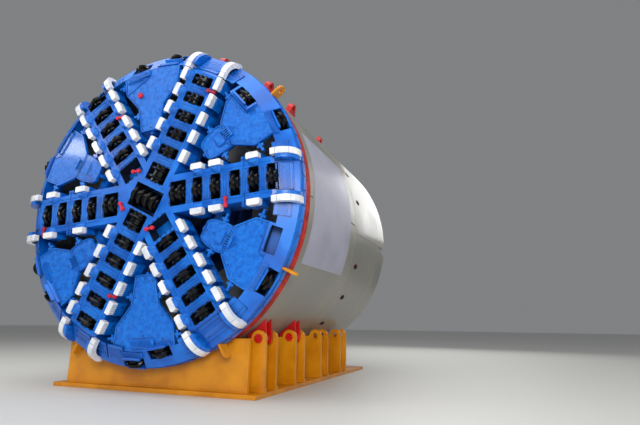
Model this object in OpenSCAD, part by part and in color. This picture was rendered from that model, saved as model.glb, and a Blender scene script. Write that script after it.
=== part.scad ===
// Shield tunnel boring machine on its assembly cradle.
// +Y runs from the cutterhead back to the tail, +Z is up, and the shield's
// front edge stands over the origin, which lies on the cradle's underside.

/* [Shield] */
// Outer radius of the shield
shield_r = 4000; // [3950:10:4030]
// Clearance between the shield and the floor
floor_gap = 600; // [580:10:700]
// Length of the front shield
front_len = 4100; // [4050:10:4200]
// Length of the middle shield
middle_len = 2750; // [2700:10:2850]
// Length of the tail shield
tail_len = 1000; // [900:10:1200]
// Wall of the front shield
front_wall = 100; // [80:5:110]
// Wall of the middle shield
middle_wall = 60; // [50:5:80]
// Wall of the tail shield
tail_wall = 50; // [40:5:60]
// Length of the hard-faced cutting ring
ring_len = 100; // [80:5:140]
// Chamfer at the ends of the shells
seam = 12; // [8:1:16]
// Width of the slits in the front shield
slit_w = 30; // [20:1:40]
// Depth of the slits
slit_d = 30; // [20:1:40]
// Radius of a probe port
port_r = 90; // [80:2:95]
// Distance of the probe ports behind the seam of the middle shield
port_back = 550; // [520:10:600]
// Slope of the probe ports against the shell in degrees
port_slope = 30; // [28:1:40]
// Wall of a probe pipe
port_wall = 15; // [10:1:20]
// Width of the notch in the tail's rear edge
notch_w = 240; // [200:10:280]
// Length of the notch
notch_len = 850; // [700:10:880]
// Height of a wire brush in the tail
brush_h = 40; // [30:5:60]

/* [Bulkhead and drive] */
// Distance from the front edge to the bulkhead
bulkhead_y = 1400; // [1350:10:1500]
// Thickness of the bulkhead
bulkhead_t = 80; // [60:5:100]
// Thickness of the bulkhead's stiffeners
stiff_t = 40; // [30:5:50]
// Depth of the bulkhead's stiffeners
stiff_d = 250; // [200:10:300]
// Outer radius of the main drive housing
drive_r = 1850; // [1800:10:1900]
// Bore radius of the main drive housing
drive_bore_r = 1000; // [900:10:1050]
// Length of the main drive ahead of the bulkhead
drive_nose = 450; // [400:10:500]
// Length of the main drive behind the bulkhead
drive_tail = 500; // [450:10:550]
// Step of the main drive's nose under its housing
drive_step = 60; // [40:5:80]
// Number of drive motors
motor_n = 8; // [6:2:8]
// Radius of a drive motor's gearbox
motor_r = 230; // [200:5:250]
// Length of a drive motor with its gearbox
motor_len = 900; // [800:10:1000]
// Radius of the mixing bars in the soil chamber
mixer_r = 110; // [90:5:130]
// Length of the mixing bars
mixer_len = 600; // [500:10:640]
// Radius of the rotary joint in the middle of the drive
joint_r = 300; // [250:10:350]

/* [Cutterhead] */
// How far the cutterhead's rim stands out beyond the shield
head_out = 20; // [10:5:40]
// Gap between the rim and the shield's edge
head_gap = 30; // [20:2:50]
// Height of the spokes' faces ahead of the shield's edge
face_h = 690; // [680:5:700]
// Angle of the first spoke
spoke_a = 64.2; // [63:0.1:65]
// Width of a spoke
spoke_w = 960; // [940:10:970]
// Height of the rim's front corner
rim_h = 360; // [350:5:370]
// Width of the slope round the spokes' faces
bevel_w = 540; // [530:10:560]
// Width of the rim
rim_w = 380; // [370:5:390]
// Height of the plates between the spokes
panel_h = 590; // [580:5:600]
// Thickness of the plates between the spokes
panel_t = 70; // [50:5:80]
// Thickness of the ribs under the plates
rib_t = 80; // [60:5:90]
// Inner radius of the tie ring between the spokes
tie_r = 1800; // [1780:5:1820]
// Width of the tie ring
tie_w = 200; // [180:5:220]
// Height of the tie ring
tie_h = 280; // [240:10:300]
// Height of the hard-faced strips over the plates
strip_h = 35; // [25:1:45]
// Thickness of the wear band round the rim
band_t = 20; // [15:1:25]
// Width of the short bars that keep big stones out of the bays
bar_w = 60; // [50:2:70]
// Radius of the ring of bolted arms behind the spokes
arm_r = 1400; // [1380:10:1420]
// Width of such an arm
arm_w = 400; // [360:10:420]

/* [Disc cutters] */
// Radius of a disc cutter's ring
disc_r = 240; // [220:2:250]
// Width of a disc cutter's ring
disc_w = 80; // [70:2:90]
// Radius of a disc cutter's hub
hub_r = 165; // [150:2:180]
// Length of a single cutter's hub
hub_len = 230; // [220:2:232]
// Length of a twin cutter's hub
twin_len = 420; // [400:2:422]
// Radius of a cutter's fixed shaft
shaft_r = 55; // [45:1:60]
// Clearance of a hub round its shaft
shaft_fit = 0.3; // [0.3:0.1:0.6]
// Height of the disc tips over the spokes' faces
tip_h = 150; // [130:5:170]
// Side clearance of a hub in its pocket
pocket_gap = 15; // [10:1:16]
// Length of a pocket across the spoke
pocket_l = 620; // [600:5:630]

/* [Scrapers] */
// Length of a scraper along its spoke
scraper_l = 320; // [300:5:325]
// Width of a scraper
scraper_w = 150; // [130:5:155]
// Height of the scrapers over the spokes' faces
scraper_h = 110; // [90:5:120]
// Depth of a scraper's blade down the spoke's side
scraper_d = 40; // [20:5:60]
// Depth of a scraper's seat under its blade
seat_d = 300; // [250:10:320]
// Radius of an edge scraper's round back
edge_r = 440; // [430:5:450]
// Thickness of an edge scraper
edge_t = 130; // [110:5:140]

/* [Thrust cylinders] */
// Number of cylinder pairs
pair_n = 16; // [16]
// Distance of the thrust cylinders' circle from the shell's outside
thrust_in = 380; // [370:5:390]
// Radius of a cylinder barrel
barrel_r = 120; // [110:2:124]
// Radius of a cylinder rod
rod_r = 80; // [70:2:85]
// Length of a cylinder barrel
barrel_len = 2250; // [2230:10:2300]
// Thickness of the two ring frames that hold the barrels
frame_t = 60; // [50:5:80]
// Height of the ring frames with the shell
frame_w = 700; // [650:10:750]
// Thickness of a thrust shoe
shoe_t = 100; // [80:5:120]
// Length of a thrust shoe round the shield
shoe_l = 960; // [900:10:1000]

/* [Screw conveyor] */
// Outer radius of the screw casing
screw_r = 420; // [400:5:440]
// Wall of the screw casing
screw_wall = 25; // [20:1:40]
// Distance of the casing's lower end from the shell's outside
screw_out = 1300; // [1280:10:1320]
// Slope of the casing in degrees
screw_a = 25; // [24.5:0.5:25.5]
// Length of the casing
screw_len = 7000; // [6950:10:7100]
// Width of the discharge chute
chute_w = 700; // [660:10:740]
// Wall of the discharge chute
chute_wall = 50; // [40:2:60]

/* [Segment erector] */
// Inner radius of the erector's ring
erector_in = 1750; // [1730:10:1770]
// Outer radius of the erector's fixed ring
erector_out = 2150; // [2140:10:2180]
// Width of the erector's rings along the shield
erector_w = 200; // [180:10:210]
// Half distance between the two guides of the erector's head
guide_x = 500; // [480:10:520]
// Width of a guide
guide_w = 150; // [130:5:160]
// Length of the head's gripping pad
pad_l = 1400; // [1200:10:1500]

/* [Man lock and decks] */
// Distance of the man lock's axis below the middle of the space between the main drive and the shell
lock_down = 25; // [10:5:60]
// Radius of the man lock
lock_r = 700; // [650:10:720]
// Length of the man lock
lock_len = 1800; // [1700:10:1900]
// Wall of the man lock
lock_wall = 20; // [15:1:30]
// Radius of the man lock's doorway
door_r = 350; // [320:5:360]
// Thickness of the man lock's door
door_t = 40; // [30:2:50]
// Distance of the decks over and under the shield's axis
deck_up = 1000; // [900:10:1050]
// Width of a deck with the shell
deck_w = 1800; // [1700:10:1850]
// Thickness of a deck
deck_t = 60; // [40:5:80]

/* [Lifting lugs and feet] */
// Thickness of a lifting lug on the shield
lug_t = 160; // [140:5:180]
// Radius of a lifting lug's round top
lug_r = 130; // [120:5:140]
// Radius of a lifting lug's hole
lug_hole_r = 60; // [50:2:70]
// Distance of a lifting lug's hole from the shell
lug_rise = 300; // [280:5:320]
// Thickness of a lifting lug on the cutterhead
head_lug_t = 60; // [50:5:70]
// Radius of the hole in a cutterhead lug
head_lug_hole_r = 45; // [40:1:55]
// Thickness of the shield's foot plates
foot_t = 60; // [50:5:70]

/* [Cradle] */
// Width of the cradle's base beyond an ear's hole
base_side = 220; // [200:10:280]
// Length of the cradle's base
base_len = 8650; // [8600:10:8800]
// Thickness of the cradle's base plate
base_t = 100; // [80:5:120]
// Thickness of a saddle plate
saddle_t = 90; // [80:5:100]
// Gap between the two plates of a saddle
saddle_gap = 500; // [490:10:520]
// Distance of an ear's hole from the shell
ear_out = 284; // [280:2:290]
// Angle of the ears' holes under the shield's axis in degrees
ear_a = 50.6; // [50:0.1:51]
// Radius of an ear's round top
ear_r = 190; // [180:5:195]
// Radius of an ear's hole
ear_hole_r = 80; // [70:2:90]
// Height of the pads round the saddles' feet
pad_h = 90; // [60:5:120]

/* [Hidden] */
fine_n = 360;
seat_gap = 0.3;
overlap = 1;
deep = 3000;
axis_h = shield_r + floor_gap;
base_y = -50;
tail_y = front_len + middle_len;
rear_y = tail_y + tail_len;
port_y = front_len + port_back;
head_r = shield_r + head_out;
bevel_r = head_r - bevel_w;
rim_in = head_r - rim_w;
thrust_r = shield_r - thrust_in;
frame_in = shield_r - frame_w;
screw_drop = shield_r - screw_out;
lock_up = (drive_r + shield_r - front_wall) / 2 - lock_down;
deck_in = shield_r - deck_w;
ear_x = (shield_r + ear_out) * cos(ear_a);
ear_h = axis_h - (shield_r + ear_out) * sin(ear_a);
base_half = ear_x + base_side;
spoke_n = 6;
axle_h = face_h + tip_h - disc_r;
pocket_w = hub_len + 2 * pocket_gap;
twin_w = twin_len + 2 * pocket_gap;
pocket_floor = axle_h - disc_r - 2 * pocket_gap;
centre_w = 2 * twin_len + 6 * pocket_gap;
lock_y = bulkhead_y + bulkhead_t;
drive_y = bulkhead_y - drive_nose;
drive_end = bulkhead_y + drive_tail;
// Depth of a gauge cutter's axle under the head's surface
gauge_d = 120;
case_l = pocket_l + 120;
case_w = pocket_w + 140;
case_h = 90;
case_d = 330;
case_bar = 50;
groove_w = 10;
groove_v = spoke_w / 2 - 110;
joint_w = 16;
edge_x = head_r + 30 - edge_r;
edge_z = face_h + scraper_h - edge_r;
edge_low = rim_h - 60;
edge_lead = 130;
lobe_w = 95;
bone_l = 270;
bone_w = 50;
bone_r = 50;
bone_t = 60;
plug_r = 2944;
band_y = 60;
band_w = 150;
band_n = 72;
band_slot = 40;
arm_ring_w = 600;
arm_ring_t = 200;
barrel_y = front_len + 150;
barrel_end = barrel_y + barrel_len;
ring_y = barrel_end - 260;
gland_l = 150;
gland_t = 12;
rod_out = 60;
shoe_w = 280;
shoe_in = thrust_r - 130;
port_step = 15;
port_first = 12.7;
pipe_in = 250;
notch_a = -4.3;
flange_t = 40;
flange_w = 60;
chute_back = 1000;
chute_drop = 700;
chute_y = bulkhead_y + screw_len * cos(screw_a) - chute_back;
chute_h = axis_h - screw_drop + (screw_len - chute_back) * sin(screw_a) - chute_drop;
gate_t = 36;
gate_in = 40;
gate_up = 60;
slide_gap = 6;
screw_shut = 300;
pad_rim = 30;
mixer_at = drive_r + 750;
head_mixer_at = rim_in - 640;
joint_gap = 8;
joint_out = 120;
split_r = 2598;
hinge_l = 300;
saddle_l = 2 * saddle_t + saddle_gap;
guide_h = 900;
guide_d = 300;
guide_z = -erector_out - 290;
head_y = ring_y + erector_w + 20;
head_d = 260;
head_h = 1000;
pad_t = 150;
pad_drop = erector_out + 450;
lining_r = thrust_r - 70;
door_lap = 50;
hinge_x = door_r + door_lap + 20;
hinge_r = 22;
hinge_y = hinge_r + 10;
hinge_half = 170;
pin_r = 12;
deck_y = lock_y + stiff_d + 180;
deck_end = front_len - 50;
rail_h = 1000;
rail_w = 50;
post_n = 4;
lug_base = 600;
head_lug_out = 200;
head_lug_y = 320;
head_lug_w = 290;
foot_in = 70;
pad_side = 15;
pad_in = ear_x - 420;
web_x = ear_x - 470;
web_t = 60;
web_h = ear_h - 290;
end_y = 100;
end_half = ear_x - 70;

// Radii of the single cutters on each spoke, then of the twin cutter (0 is an empty pocket)
// columns: single 1, single 2, single 3, single 4, single 5, twin, empty pocket
CUTTER_ROWS = [
    [3264, 2768, 2268, 1776, 1296, 696, 0],
    [3480, 3008, 2524, 2004, 1508, 956, 0],
    [3336, 2840, 2340, 1820, 1340, 0, 900],
    [3276, 2736, 2208, 1688, 1188, 596, 0],
    [3200, 2688, 2176, 1676, 0, 1076, 0],
    [3492, 2968, 2476, 1976, 1496, 0, 948],
];

// Gauge cutters, columns: angle, distance of the axle's middle in from the rim, tilt towards it
GAUGE = [
    [100.3, 280, 38],
    [84.3, 190, 50],
    [41.7, 520, 22],
    [26.2, 190, 50],
    [-32.2, 190, 50],
    [-79.1, 360, 32],
    [-91.3, 190, 50],
    [-140.8, 380, 32],
    [-156, 190, 50],
    [160.6, 190, 50],
];
// Gauge pocket whose cutter is out, same columns
OPEN_GAUGE = [-18.7, 380, 20];
POCKETS = concat(GAUGE, [OPEN_GAUGE]);

// Half outlines of the plates in the bays, columns: distance from the centre, half width
INNER_PLATE = [[1888, -1], [1888, 200], [1960, 268], [2120, 320], [2400, 360], [2590, 340], [2590, -1]];
OUTER_PLATE = [[2606, -1], [2606, 360], [3040, 760], [3400, 800], [3640, 806], [head_r, 806], [head_r, -1]];
WHOLE_PLATE = [[1864, -1], [1864, 292], [2200, 330], [2560, 400], [3040, 820], [3520, 880], [head_r, 880],
               [head_r, -1]];
// Bays whose plate is split in two
SPLIT_PANEL = [false, true, true, false, true, true];

// Bars on the plates' sides, columns: distance from the centre, start and end across the bay
SPLIT_BARS = [[2300, 300, 550], [3140, 730, 1000]];
WHOLE_BARS = [[2360, 320, 560], [3300, 820, 1060]];

// Hard-faced strips, columns: angle, half width, distances of both edges in from the rim
PLATE_STRIPS = [[101, 360, 580, 420], [148, 330, 580, 420], [-150, 300, 580, 420],
                [-86, 330, 640, 460]];
RIM_STRIPS = [[86.5, 330, 360, 250], [26.2, 340, 360, 250], [-32.2, 340, 360, 250],
              [-91.3, 330, 360, 250], [-156, 340, 360, 250], [160.6, 340, 360, 250]];

// Radii of the scrapers along each spoke
SCRAPERS = [
    [1340, 1864, 2360, 2852, 3300],
    [1540, 2040, 3028],
    [1280, 1776, 2276, 2752, 3204],
    [1120, 1656, 2180, 2680, 3180],
    [2020, 3028],
    [1192, 1720, 2224, 2732, 3220],
];

// Bolted joints across the spokes, columns: spoke, radius
JOINTS = [[1, 2766], [4, 2432]];

// Nozzle covers, columns: spoke, radius, offset across the spoke, turn on the face
NOZZLES = [
    [0, 3076, -430, 90], [1, 2290, -430, 90], [2, 765, -235, 65], [3, 2430, 430, 110],
    [4, 3254, 430, 90], [4, 700, 96, 117], [5, 2478, -430, 60], [5, 800, -130, 56],
];

// Lifting lugs on the shield, columns: distance from the front edge, angle
LUGS = [[350, 73], [1250, 59], [2700, 58], [6000, 63]];
// Angles of the lifting lugs on the cutterhead's rim
HEAD_LUGS = [38, -26, -58.5, -120];

// Corners of a shield foot's plate, columns: distance outwards from the ear's hole, height over it
FOOT_PLATE = [[110, 30], [60, 700], [-520, 200], [-220, -120], [90, -120]];

// Slits in both sides of the front shield, columns: start, end
SLITS = [[ring_len + 20, 470], [front_len - 560, front_len - 80]];

// Saddles of the cradle, columns: distance of the first plate, with a pinned shield foot
SADDLES = [[400, true], [2150, true], [4060, false], [5900, false]];

$fn = 64;

// Works seen from the front: x right, y up, z forward from the shield's edge
module at_axis() translate([0, 0, axis_h]) rotate([90, 0, 0]) children();

// Ring round the shield's axis between two distances from the front edge
module axis_ring(y0, y1, r_out, r_in)
    at_axis() translate([0, 0, -y1]) linear_extrude(y1 - y0)
        difference() { circle(r_out, $fn = fine_n); circle(r_in, $fn = fine_n); }

// Shell between two distances from the front edge, chamfered outside at both ends
module shell(y0, y1, wall)
    at_axis() rotate_extrude($fn = fine_n)
        polygon([[shield_r - wall, -y0], [shield_r - seam, -y0], [shield_r, -y0 - seam],
                 [shield_r, -y1 + seam], [shield_r - seam, -y1], [shield_r - wall, -y1]]);

// Plate in the radial plane at an angle, drawn as radius and distance from the front edge
module radial_plate(ang, t)
    at_axis() rotate([0, 0, ang]) rotate([-90, 0, 0]) translate([0, 0, -t / 2])
        linear_extrude(t) children();

module front_shield() color("gainsboro")
    difference() {
        shell(ring_len, front_len, front_wall);
        at_axis() for (s = SLITS, a = [0, 180]) rotate([0, 0, a])
            translate([shield_r - slit_d, -slit_w / 2, -s[1]]) cube([slit_d + overlap, slit_w, s[1] - s[0]]);
    }

module cutting_ring() color("firebrick")
    at_axis() rotate_extrude($fn = fine_n)
        polygon([[shield_r - front_wall, 0], [shield_r - 2 * seam, 0], [shield_r, -2 * seam],
                 [shield_r, -ring_len + seam], [shield_r - seam, -ring_len],
                 [shield_r - front_wall, -ring_len]]);

module middle_shield() color("gainsboro")
    difference() {
        shell(front_len, tail_y, middle_wall);
        each_port() translate([0, 0, -deep / 2]) cylinder(h = deep, r = port_r);
    }

// Works along each probe port's axis, z outwards and forwards from the shell's surface
module each_port()
    at_axis() for (i = [0:360 / port_step - 1]) {
        a = port_first + port_step * i;
        if (abs(a - 357.7) > 1 && abs(a - 177.7) > 1)
            rotate([0, 0, a]) translate([shield_r, 0, -port_y]) rotate([0, port_slope, 0]) children();
    }

module probe_pipes() color("crimson")
    intersection() {
        each_port() translate([0, 0, -pipe_in]) difference() {
            cylinder(h = 3 * pipe_in, r = port_r - seat_gap);
            translate([0, 0, port_wall]) cylinder(h = 3 * pipe_in, r = port_r - port_wall);
        }
        at_axis() translate([0, 0, -tail_y]) cylinder(h = tail_y, r = shield_r - seam / 2, $fn = fine_n);
    }

// Notch in the rear edge of the tail, for the hoses
module tail_notch()
    at_axis() rotate([0, 0, notch_a]) translate([frame_in, -notch_w / 2, -rear_y - overlap])
        cube([shield_r, notch_w, notch_len + overlap]);

module tail_shield() color("gainsboro")
    difference() { shell(tail_y, rear_y, tail_wall); tail_notch(); }

module tail_brushes() color("dimgray")
    difference() {
        for (i = [0:2])
            axis_ring(rear_y - 150 - 250 * i, rear_y - 90 - 250 * i,
                      shield_r - tail_wall - seat_gap, shield_r - tail_wall - brush_h);
        tail_notch();
    }

module bulkhead() color("silver") {
    difference() {
        union() {
            axis_ring(bulkhead_y, lock_y, shield_r - front_wall - seat_gap, drive_r + seat_gap);
            for (i = [0:7]) radial_plate(22.5 + 45 * i, stiff_t)
                translate([drive_r + 2 * drive_step, lock_y - overlap])
                    square([shield_r - front_wall - 10 - drive_r - 2 * drive_step, stiff_d + overlap]);
        }
        screw_axis() translate([0, 0, -deep / 2]) cylinder(h = deep, r = screw_r + seat_gap, $fn = fine_n);
    }
    at_axis() for (a = [45:90:315]) rotate([0, 0, a])
        translate([mixer_at, 0, -bulkhead_y - overlap]) cylinder(h = mixer_len + overlap, r = mixer_r);
}

// Main drive: stepped housing with a flange behind the bulkhead and a web round the centre joint
module main_drive() color("steelblue")
    at_axis() rotate_extrude($fn = fine_n)
        polygon([[drive_bore_r, -drive_y], [drive_r - drive_step, -drive_y],
                 [drive_r - drive_step, -bulkhead_y + drive_step], [drive_r, -bulkhead_y + drive_step],
                 [drive_r, -lock_y - seat_gap], [drive_r + drive_step, -lock_y - seat_gap],
                 [drive_r + drive_step, -lock_y - 2 * flange_t], [drive_r - drive_step, -lock_y - 2 * flange_t],
                 [drive_r - drive_step, -drive_end], [drive_bore_r, -drive_end],
                 [drive_bore_r, -lock_y], [joint_r + joint_gap, -lock_y],
                 [joint_r + joint_gap, -bulkhead_y], [drive_bore_r, -bulkhead_y]]);

// Drive motors, each a flange, a gearbox, a motor and its cap
module drive_motors() color("royalblue")
    at_axis() for (i = [0:motor_n - 1]) rotate([0, 0, (i + 0.5) * 360 / motor_n])
        translate([(drive_r + drive_bore_r) / 2, 0, -drive_end]) rotate_extrude()
            polygon([[0, 0], [motor_r, 0], [motor_r, -2 * flange_t], [motor_r - 25, -2 * flange_t],
                     [motor_r - 25, -motor_len * 0.5], [motor_r - 60, -motor_len * 0.55],
                     [motor_r - 60, -motor_len * 0.9], [motor_r - 95, -motor_len], [0, -motor_len]]);

// Four decks inside the front shield, each with its posts and rail
module work_platforms() color("gold")
    for (side = [-1, 1], up = [-1, 1]) translate([0, 0, axis_h + up * deck_up]) {
        intersection() {
            translate([side > 0 ? deck_in : -shield_r, deck_y, 0])
                cube([shield_r - deck_in, deck_end - deck_y, deck_t]);
            translate([0, deck_y, -up * deck_up]) rotate([-90, 0, 0])
                cylinder(h = deck_end - deck_y, r = shield_r - front_wall - seat_gap, $fn = fine_n);
        }
        for (i = [0:post_n - 1])
            translate([side * (deck_in + rail_w) - rail_w / 2,
                       deck_y + i * (deck_end - deck_y - rail_w) / (post_n - 1), deck_t - overlap])
                cube([rail_w, rail_w, rail_h]);
        for (h = [rail_h / 2, rail_h])
            translate([side * (deck_in + rail_w) - rail_w / 2, deck_y, deck_t + h - rail_w])
                cube([rail_w, deck_end - deck_y, rail_w]);
    }

// Ring frames that carry the thrust cylinders in the middle shield
module thrust_ring() color("silver")
    difference() {
        union() {
            axis_ring(barrel_y - frame_t, barrel_y, shield_r - middle_wall - seat_gap, frame_in);
            axis_ring(ring_y, ring_y + frame_t, shield_r - middle_wall - seat_gap, frame_in);
        }
        each_cylinder() translate([0, 0, -barrel_end]) cylinder(h = barrel_len, r = barrel_r + seat_gap);
    }

// Places its children at each thrust cylinder's axis
module each_cylinder()
    for (i = [0:2 * pair_n - 1])
        at_axis() rotate([0, 0, cylinder_angle(i)]) translate([thrust_r, 0, 0]) children();

function cylinder_angle(i) = (floor(i / 2) + 0.5) * 360 / pair_n + (i % 2 - 0.5) * 6;

module thrust_barrels() color("orange")
    each_cylinder() translate([0, 0, -barrel_end])
        difference() {
            union() {
                cylinder(h = barrel_len, r = barrel_r);
                cylinder(h = gland_l, r = barrel_r + gland_t);
            }
            translate([0, 0, -overlap]) cylinder(h = barrel_len - frame_t, r = rod_r + seat_gap);
        }

// Four pairs of rods with the shoes that push on the tunnel lining
module thrust_rods(group) color("silver")
    for (k = [0:pair_n / 4 - 1]) {
        pair = (group * pair_n / 4 + k - pair_n / 8 + pair_n) % pair_n;
        for (s = [0, 1])
            at_axis() rotate([0, 0, cylinder_angle(2 * pair + s)])
                translate([thrust_r, 0, -barrel_end - rod_out - overlap])
                    cylinder(h = barrel_len - 2 * frame_t, r = rod_r);
        at_axis() rotate([0, 0, (pair + 0.5) * 360 / pair_n]) {
            translate([shoe_in, -shoe_l / 2, -barrel_end - rod_out - shoe_t]) cube([shoe_w, shoe_l, shoe_t]);
            translate([shoe_in + pad_rim, -shoe_l / 2 + pad_rim, -barrel_end - rod_out - shoe_t - pad_rim])
                cube([shoe_w - 2 * pad_rim, shoe_l - 2 * pad_rim, pad_rim + overlap]);
        }
    }

// Works along the screw conveyor: z runs up its casing from the bulkhead
module screw_axis()
    translate([0, bulkhead_y, axis_h - screw_drop]) rotate([screw_a - 90, 0, 0]) children();

module screw_casing() color("gold")
    screw_axis() difference() {
        union() {
            cylinder(h = screw_len, r = screw_r, $fn = fine_n);
            for (s = [1800:1600:5000]) translate([0, 0, s]) cylinder(h = flange_t, r = screw_r + flange_w);
        }
        translate([0, 0, -overlap])
            cylinder(h = screw_len - screw_shut, r = screw_r - screw_wall, $fn = fine_n);
    }

module screw_drive() color("royalblue")
    screw_axis() translate([0, 0, screw_len]) {
        cylinder(h = screw_shut, r = screw_r - 80);
        for (a = [90:120:330]) rotate([0, 0, a]) translate([screw_r / 2 - 20, 0, screw_shut - overlap])
            cylinder(h = screw_shut, r = 110);
    }

// Fixed ring of the erector with the four beams that carry it
module erector_mount() color("silver")
    at_axis() translate([0, 0, -(ring_y - seat_gap)]) linear_extrude(erector_w) {
        difference() { circle(erector_out, $fn = fine_n); circle(erector_in, $fn = fine_n); }
        for (a = [45:90:315]) rotate(a)
            translate([erector_out - 20, -guide_w]) square([frame_in + guide_w - erector_out, 2 * guide_w]);
    }

// Turning ring of the erector with the guides of its head and its counterweight
module erector_rotor() color("orange") {
    axis_ring(ring_y + seat_gap, ring_y + erector_w, erector_out - 50, erector_in);
    for (s = [-1, 1])
        translate([s * guide_x - guide_w / 2, ring_y + erector_w - overlap, axis_h + guide_z])
            cube([guide_w, guide_d, guide_h]);
    translate([-guide_x, ring_y + erector_w - overlap, axis_h + erector_in + 30])
        cube([2 * guide_x, guide_d - 50, 2 * guide_w]);
}

// Sliding head that lifts and places a lining segment, with its curved pad
module erector_head() color("orange") {
    half = guide_x - guide_w / 2 - seat_gap;
    translate([-half, head_y, axis_h - pad_drop + pad_t]) cube([2 * half, head_d, head_h]);
    translate([0, head_y + guide_d, axis_h - pad_drop]) rotate([90, 0, 0]) linear_extrude(guide_d)
        intersection() {
            translate([-pad_l / 2, 0]) square([pad_l, pad_t + overlap]);
            translate([0, lining_r]) circle(lining_r, $fn = fine_n);
        }
}

// Works at the man lock's doorway: x right, z up, y backwards
module at_doorway() translate([0, lock_y + lock_len, axis_h + lock_up]) children();

module manlock() color("silver")
    at_doorway() {
        rotate([90, 0, 0]) difference() {
            union() {
                cylinder(h = lock_len, r = lock_r);
                cylinder(h = flange_t, r = lock_r + 30);
            }
            translate([0, 0, 2 * lock_wall]) cylinder(h = lock_len - 4 * lock_wall, r = lock_r - lock_wall);
            translate([0, 0, -overlap]) cylinder(h = 3 * lock_wall, r = door_r);
        }
        // hinge pin between two lugs
        translate([-hinge_x, hinge_y, -hinge_half]) cylinder(h = 2 * hinge_half, r = pin_r);
        for (s = [-1, 1])
            translate([-hinge_x - hinge_r, -overlap, s * (hinge_half - hinge_r) - hinge_r / 2])
                cube([2 * hinge_r, hinge_y + hinge_r, hinge_r]);
    }

module manlock_door() color("silver")
    at_doorway() difference() {
        union() {
            translate([0, seat_gap + door_t, 0]) rotate([90, 0, 0]) cylinder(h = door_t, r = door_r + door_lap);
            translate([-hinge_x, hinge_y, -hinge_half / 2]) cylinder(h = hinge_half, r = hinge_r);
            translate([-hinge_x, hinge_y - hinge_r / 2, -hinge_half / 2])
                cube([2 * door_lap, door_t + seat_gap - hinge_y + hinge_r / 2, hinge_half]);
        }
        translate([-hinge_x, hinge_y, -hinge_half]) cylinder(h = 2 * hinge_half, r = pin_r + shaft_fit);
    }

module discharge_chute() color("gold")
    difference() {
        translate([-chute_w / 2, chute_y, chute_h]) cube([chute_w, chute_w, chute_drop + 2 * guide_w / 1.5]);
        translate([-chute_w / 2 + chute_wall, chute_y + chute_wall, chute_h - overlap])
            cube([chute_w - 2 * chute_wall, chute_w - 2 * chute_wall, 2 * chute_drop]);
        screw_axis() translate([0, 0, screw_len / 2])
            cylinder(h = screw_len, r = screw_r + seat_gap, $fn = fine_n);
        translate([-chute_w / 2 + gate_in, chute_y + gate_in, chute_h + gate_up])
            cube([chute_w, chute_w - 2 * gate_in, gate_t + slide_gap]);
    }

module discharge_gate() color("gold")
    translate([-chute_w / 2 + gate_in + slide_gap, chute_y + gate_in + slide_gap, chute_h + gate_up + seat_gap])
        cube([chute_w + 100, chute_w - 2 * gate_in - 2 * slide_gap, gate_t]);

module lifting_lugs() color("red")
    for (lug = LUGS, side = [0, 1])
        radial_plate(side == 0 ? lug[1] : 180 - lug[1], lug_t) lug_profile(lug[0]);

// Side view of a lifting lug, in radius and distance from the front edge
module lug_profile(y) {
    eye = y + lug_r + 20;
    slope = atan(lug_rise / (y + lug_base - eye)) + asin(lug_r / norm([lug_rise, y + lug_base - eye]));
    difference() {
        union() {
            translate([shield_r + lug_rise, eye]) circle(lug_r);
            polygon([[shield_r + seat_gap, eye - lug_r], [shield_r + lug_rise, eye - lug_r],
                     [shield_r + lug_rise, eye],
                     [shield_r + lug_rise + lug_r * cos(slope), eye + lug_r * sin(slope)],
                     [shield_r + seat_gap, y + lug_base]]);
        }
        translate([shield_r + lug_rise, eye]) circle(lug_hole_r);
    }
}

// Two plates on each side that stand on the pins of the first saddles
module shield_feet() color("crimson")
    for (saddle = SADDLES, side = [-1, 1], k = [0, 1]) if (saddle[1])
        translate([0, saddle[0] + saddle_t + (k == 0 ? foot_in + foot_t : saddle_gap - foot_in), 0])
            rotate([90, 0, 0]) linear_extrude(foot_t) difference() {
                polygon([for (p = FOOT_PLATE) [side * (ear_x + p[0]), ear_h + p[1]]]);
                translate([0, axis_h]) circle(shield_r + seat_gap, $fn = fine_n);
                translate([side * ear_x, ear_h]) circle(ear_hole_r);
            }

module foot_pins() color("crimson")
    for (saddle = SADDLES, side = [-1, 1]) if (saddle[1])
        translate([side * ear_x, saddle[0] - 20, ear_h]) rotate([-90, 0, 0]) {
            cylinder(h = saddle_l + 40, r = ear_hole_r - seat_gap);
            cylinder(h = 20 - seat_gap, r = ear_hole_r + 25);
        }

module cradle_base() color("orange")
    translate([-base_half, base_y, 0]) cube([2 * base_half, base_len, base_t]);

// Four double saddles with their pads and inner webs, and the plate across the front
module cradle_saddles() color("orange") {
    for (saddle = SADDLES) {
        for (k = [0, 1])
            translate([0, saddle[0] + saddle_t + k * (saddle_t + saddle_gap), 0]) rotate([90, 0, 0])
                linear_extrude(saddle_t) saddle_profile();
        for (side = [-1, 1]) {
            for (k = [0, 1])
                translate([side > 0 ? pad_in : -base_half + 10,
                           saddle[0] - pad_side + k * (saddle_t + saddle_gap), base_t])
                    cube([base_half - 10 - pad_in, saddle_t + 2 * pad_side, pad_h]);
            translate([side > 0 ? web_x : -web_x - web_t, saddle[0] + saddle_t - overlap, base_t])
                cube([web_t, saddle_gap + 2 * overlap, web_h - base_t]);
        }
    }
    translate([0, end_y + saddle_t, 0]) rotate([90, 0, 0]) linear_extrude(saddle_t) difference() {
        translate([-end_half, base_t]) square([2 * end_half, ear_h - base_t]);
        translate([0, axis_h]) circle(shield_r + seat_gap, $fn = fine_n);
    }
}

module saddle_profile()
    difference() {
        union() {
            translate([-ear_x - ear_r, base_t]) square([2 * (ear_x + ear_r), ear_h - base_t]);
            for (side = [-1, 1]) translate([side * ear_x, ear_h]) circle(ear_r);
        }
        translate([0, axis_h]) circle(shield_r + seat_gap, $fn = fine_n);
        for (side = [-1, 1]) translate([side * ear_x, ear_h]) circle(ear_hole_r);
    }

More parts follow.
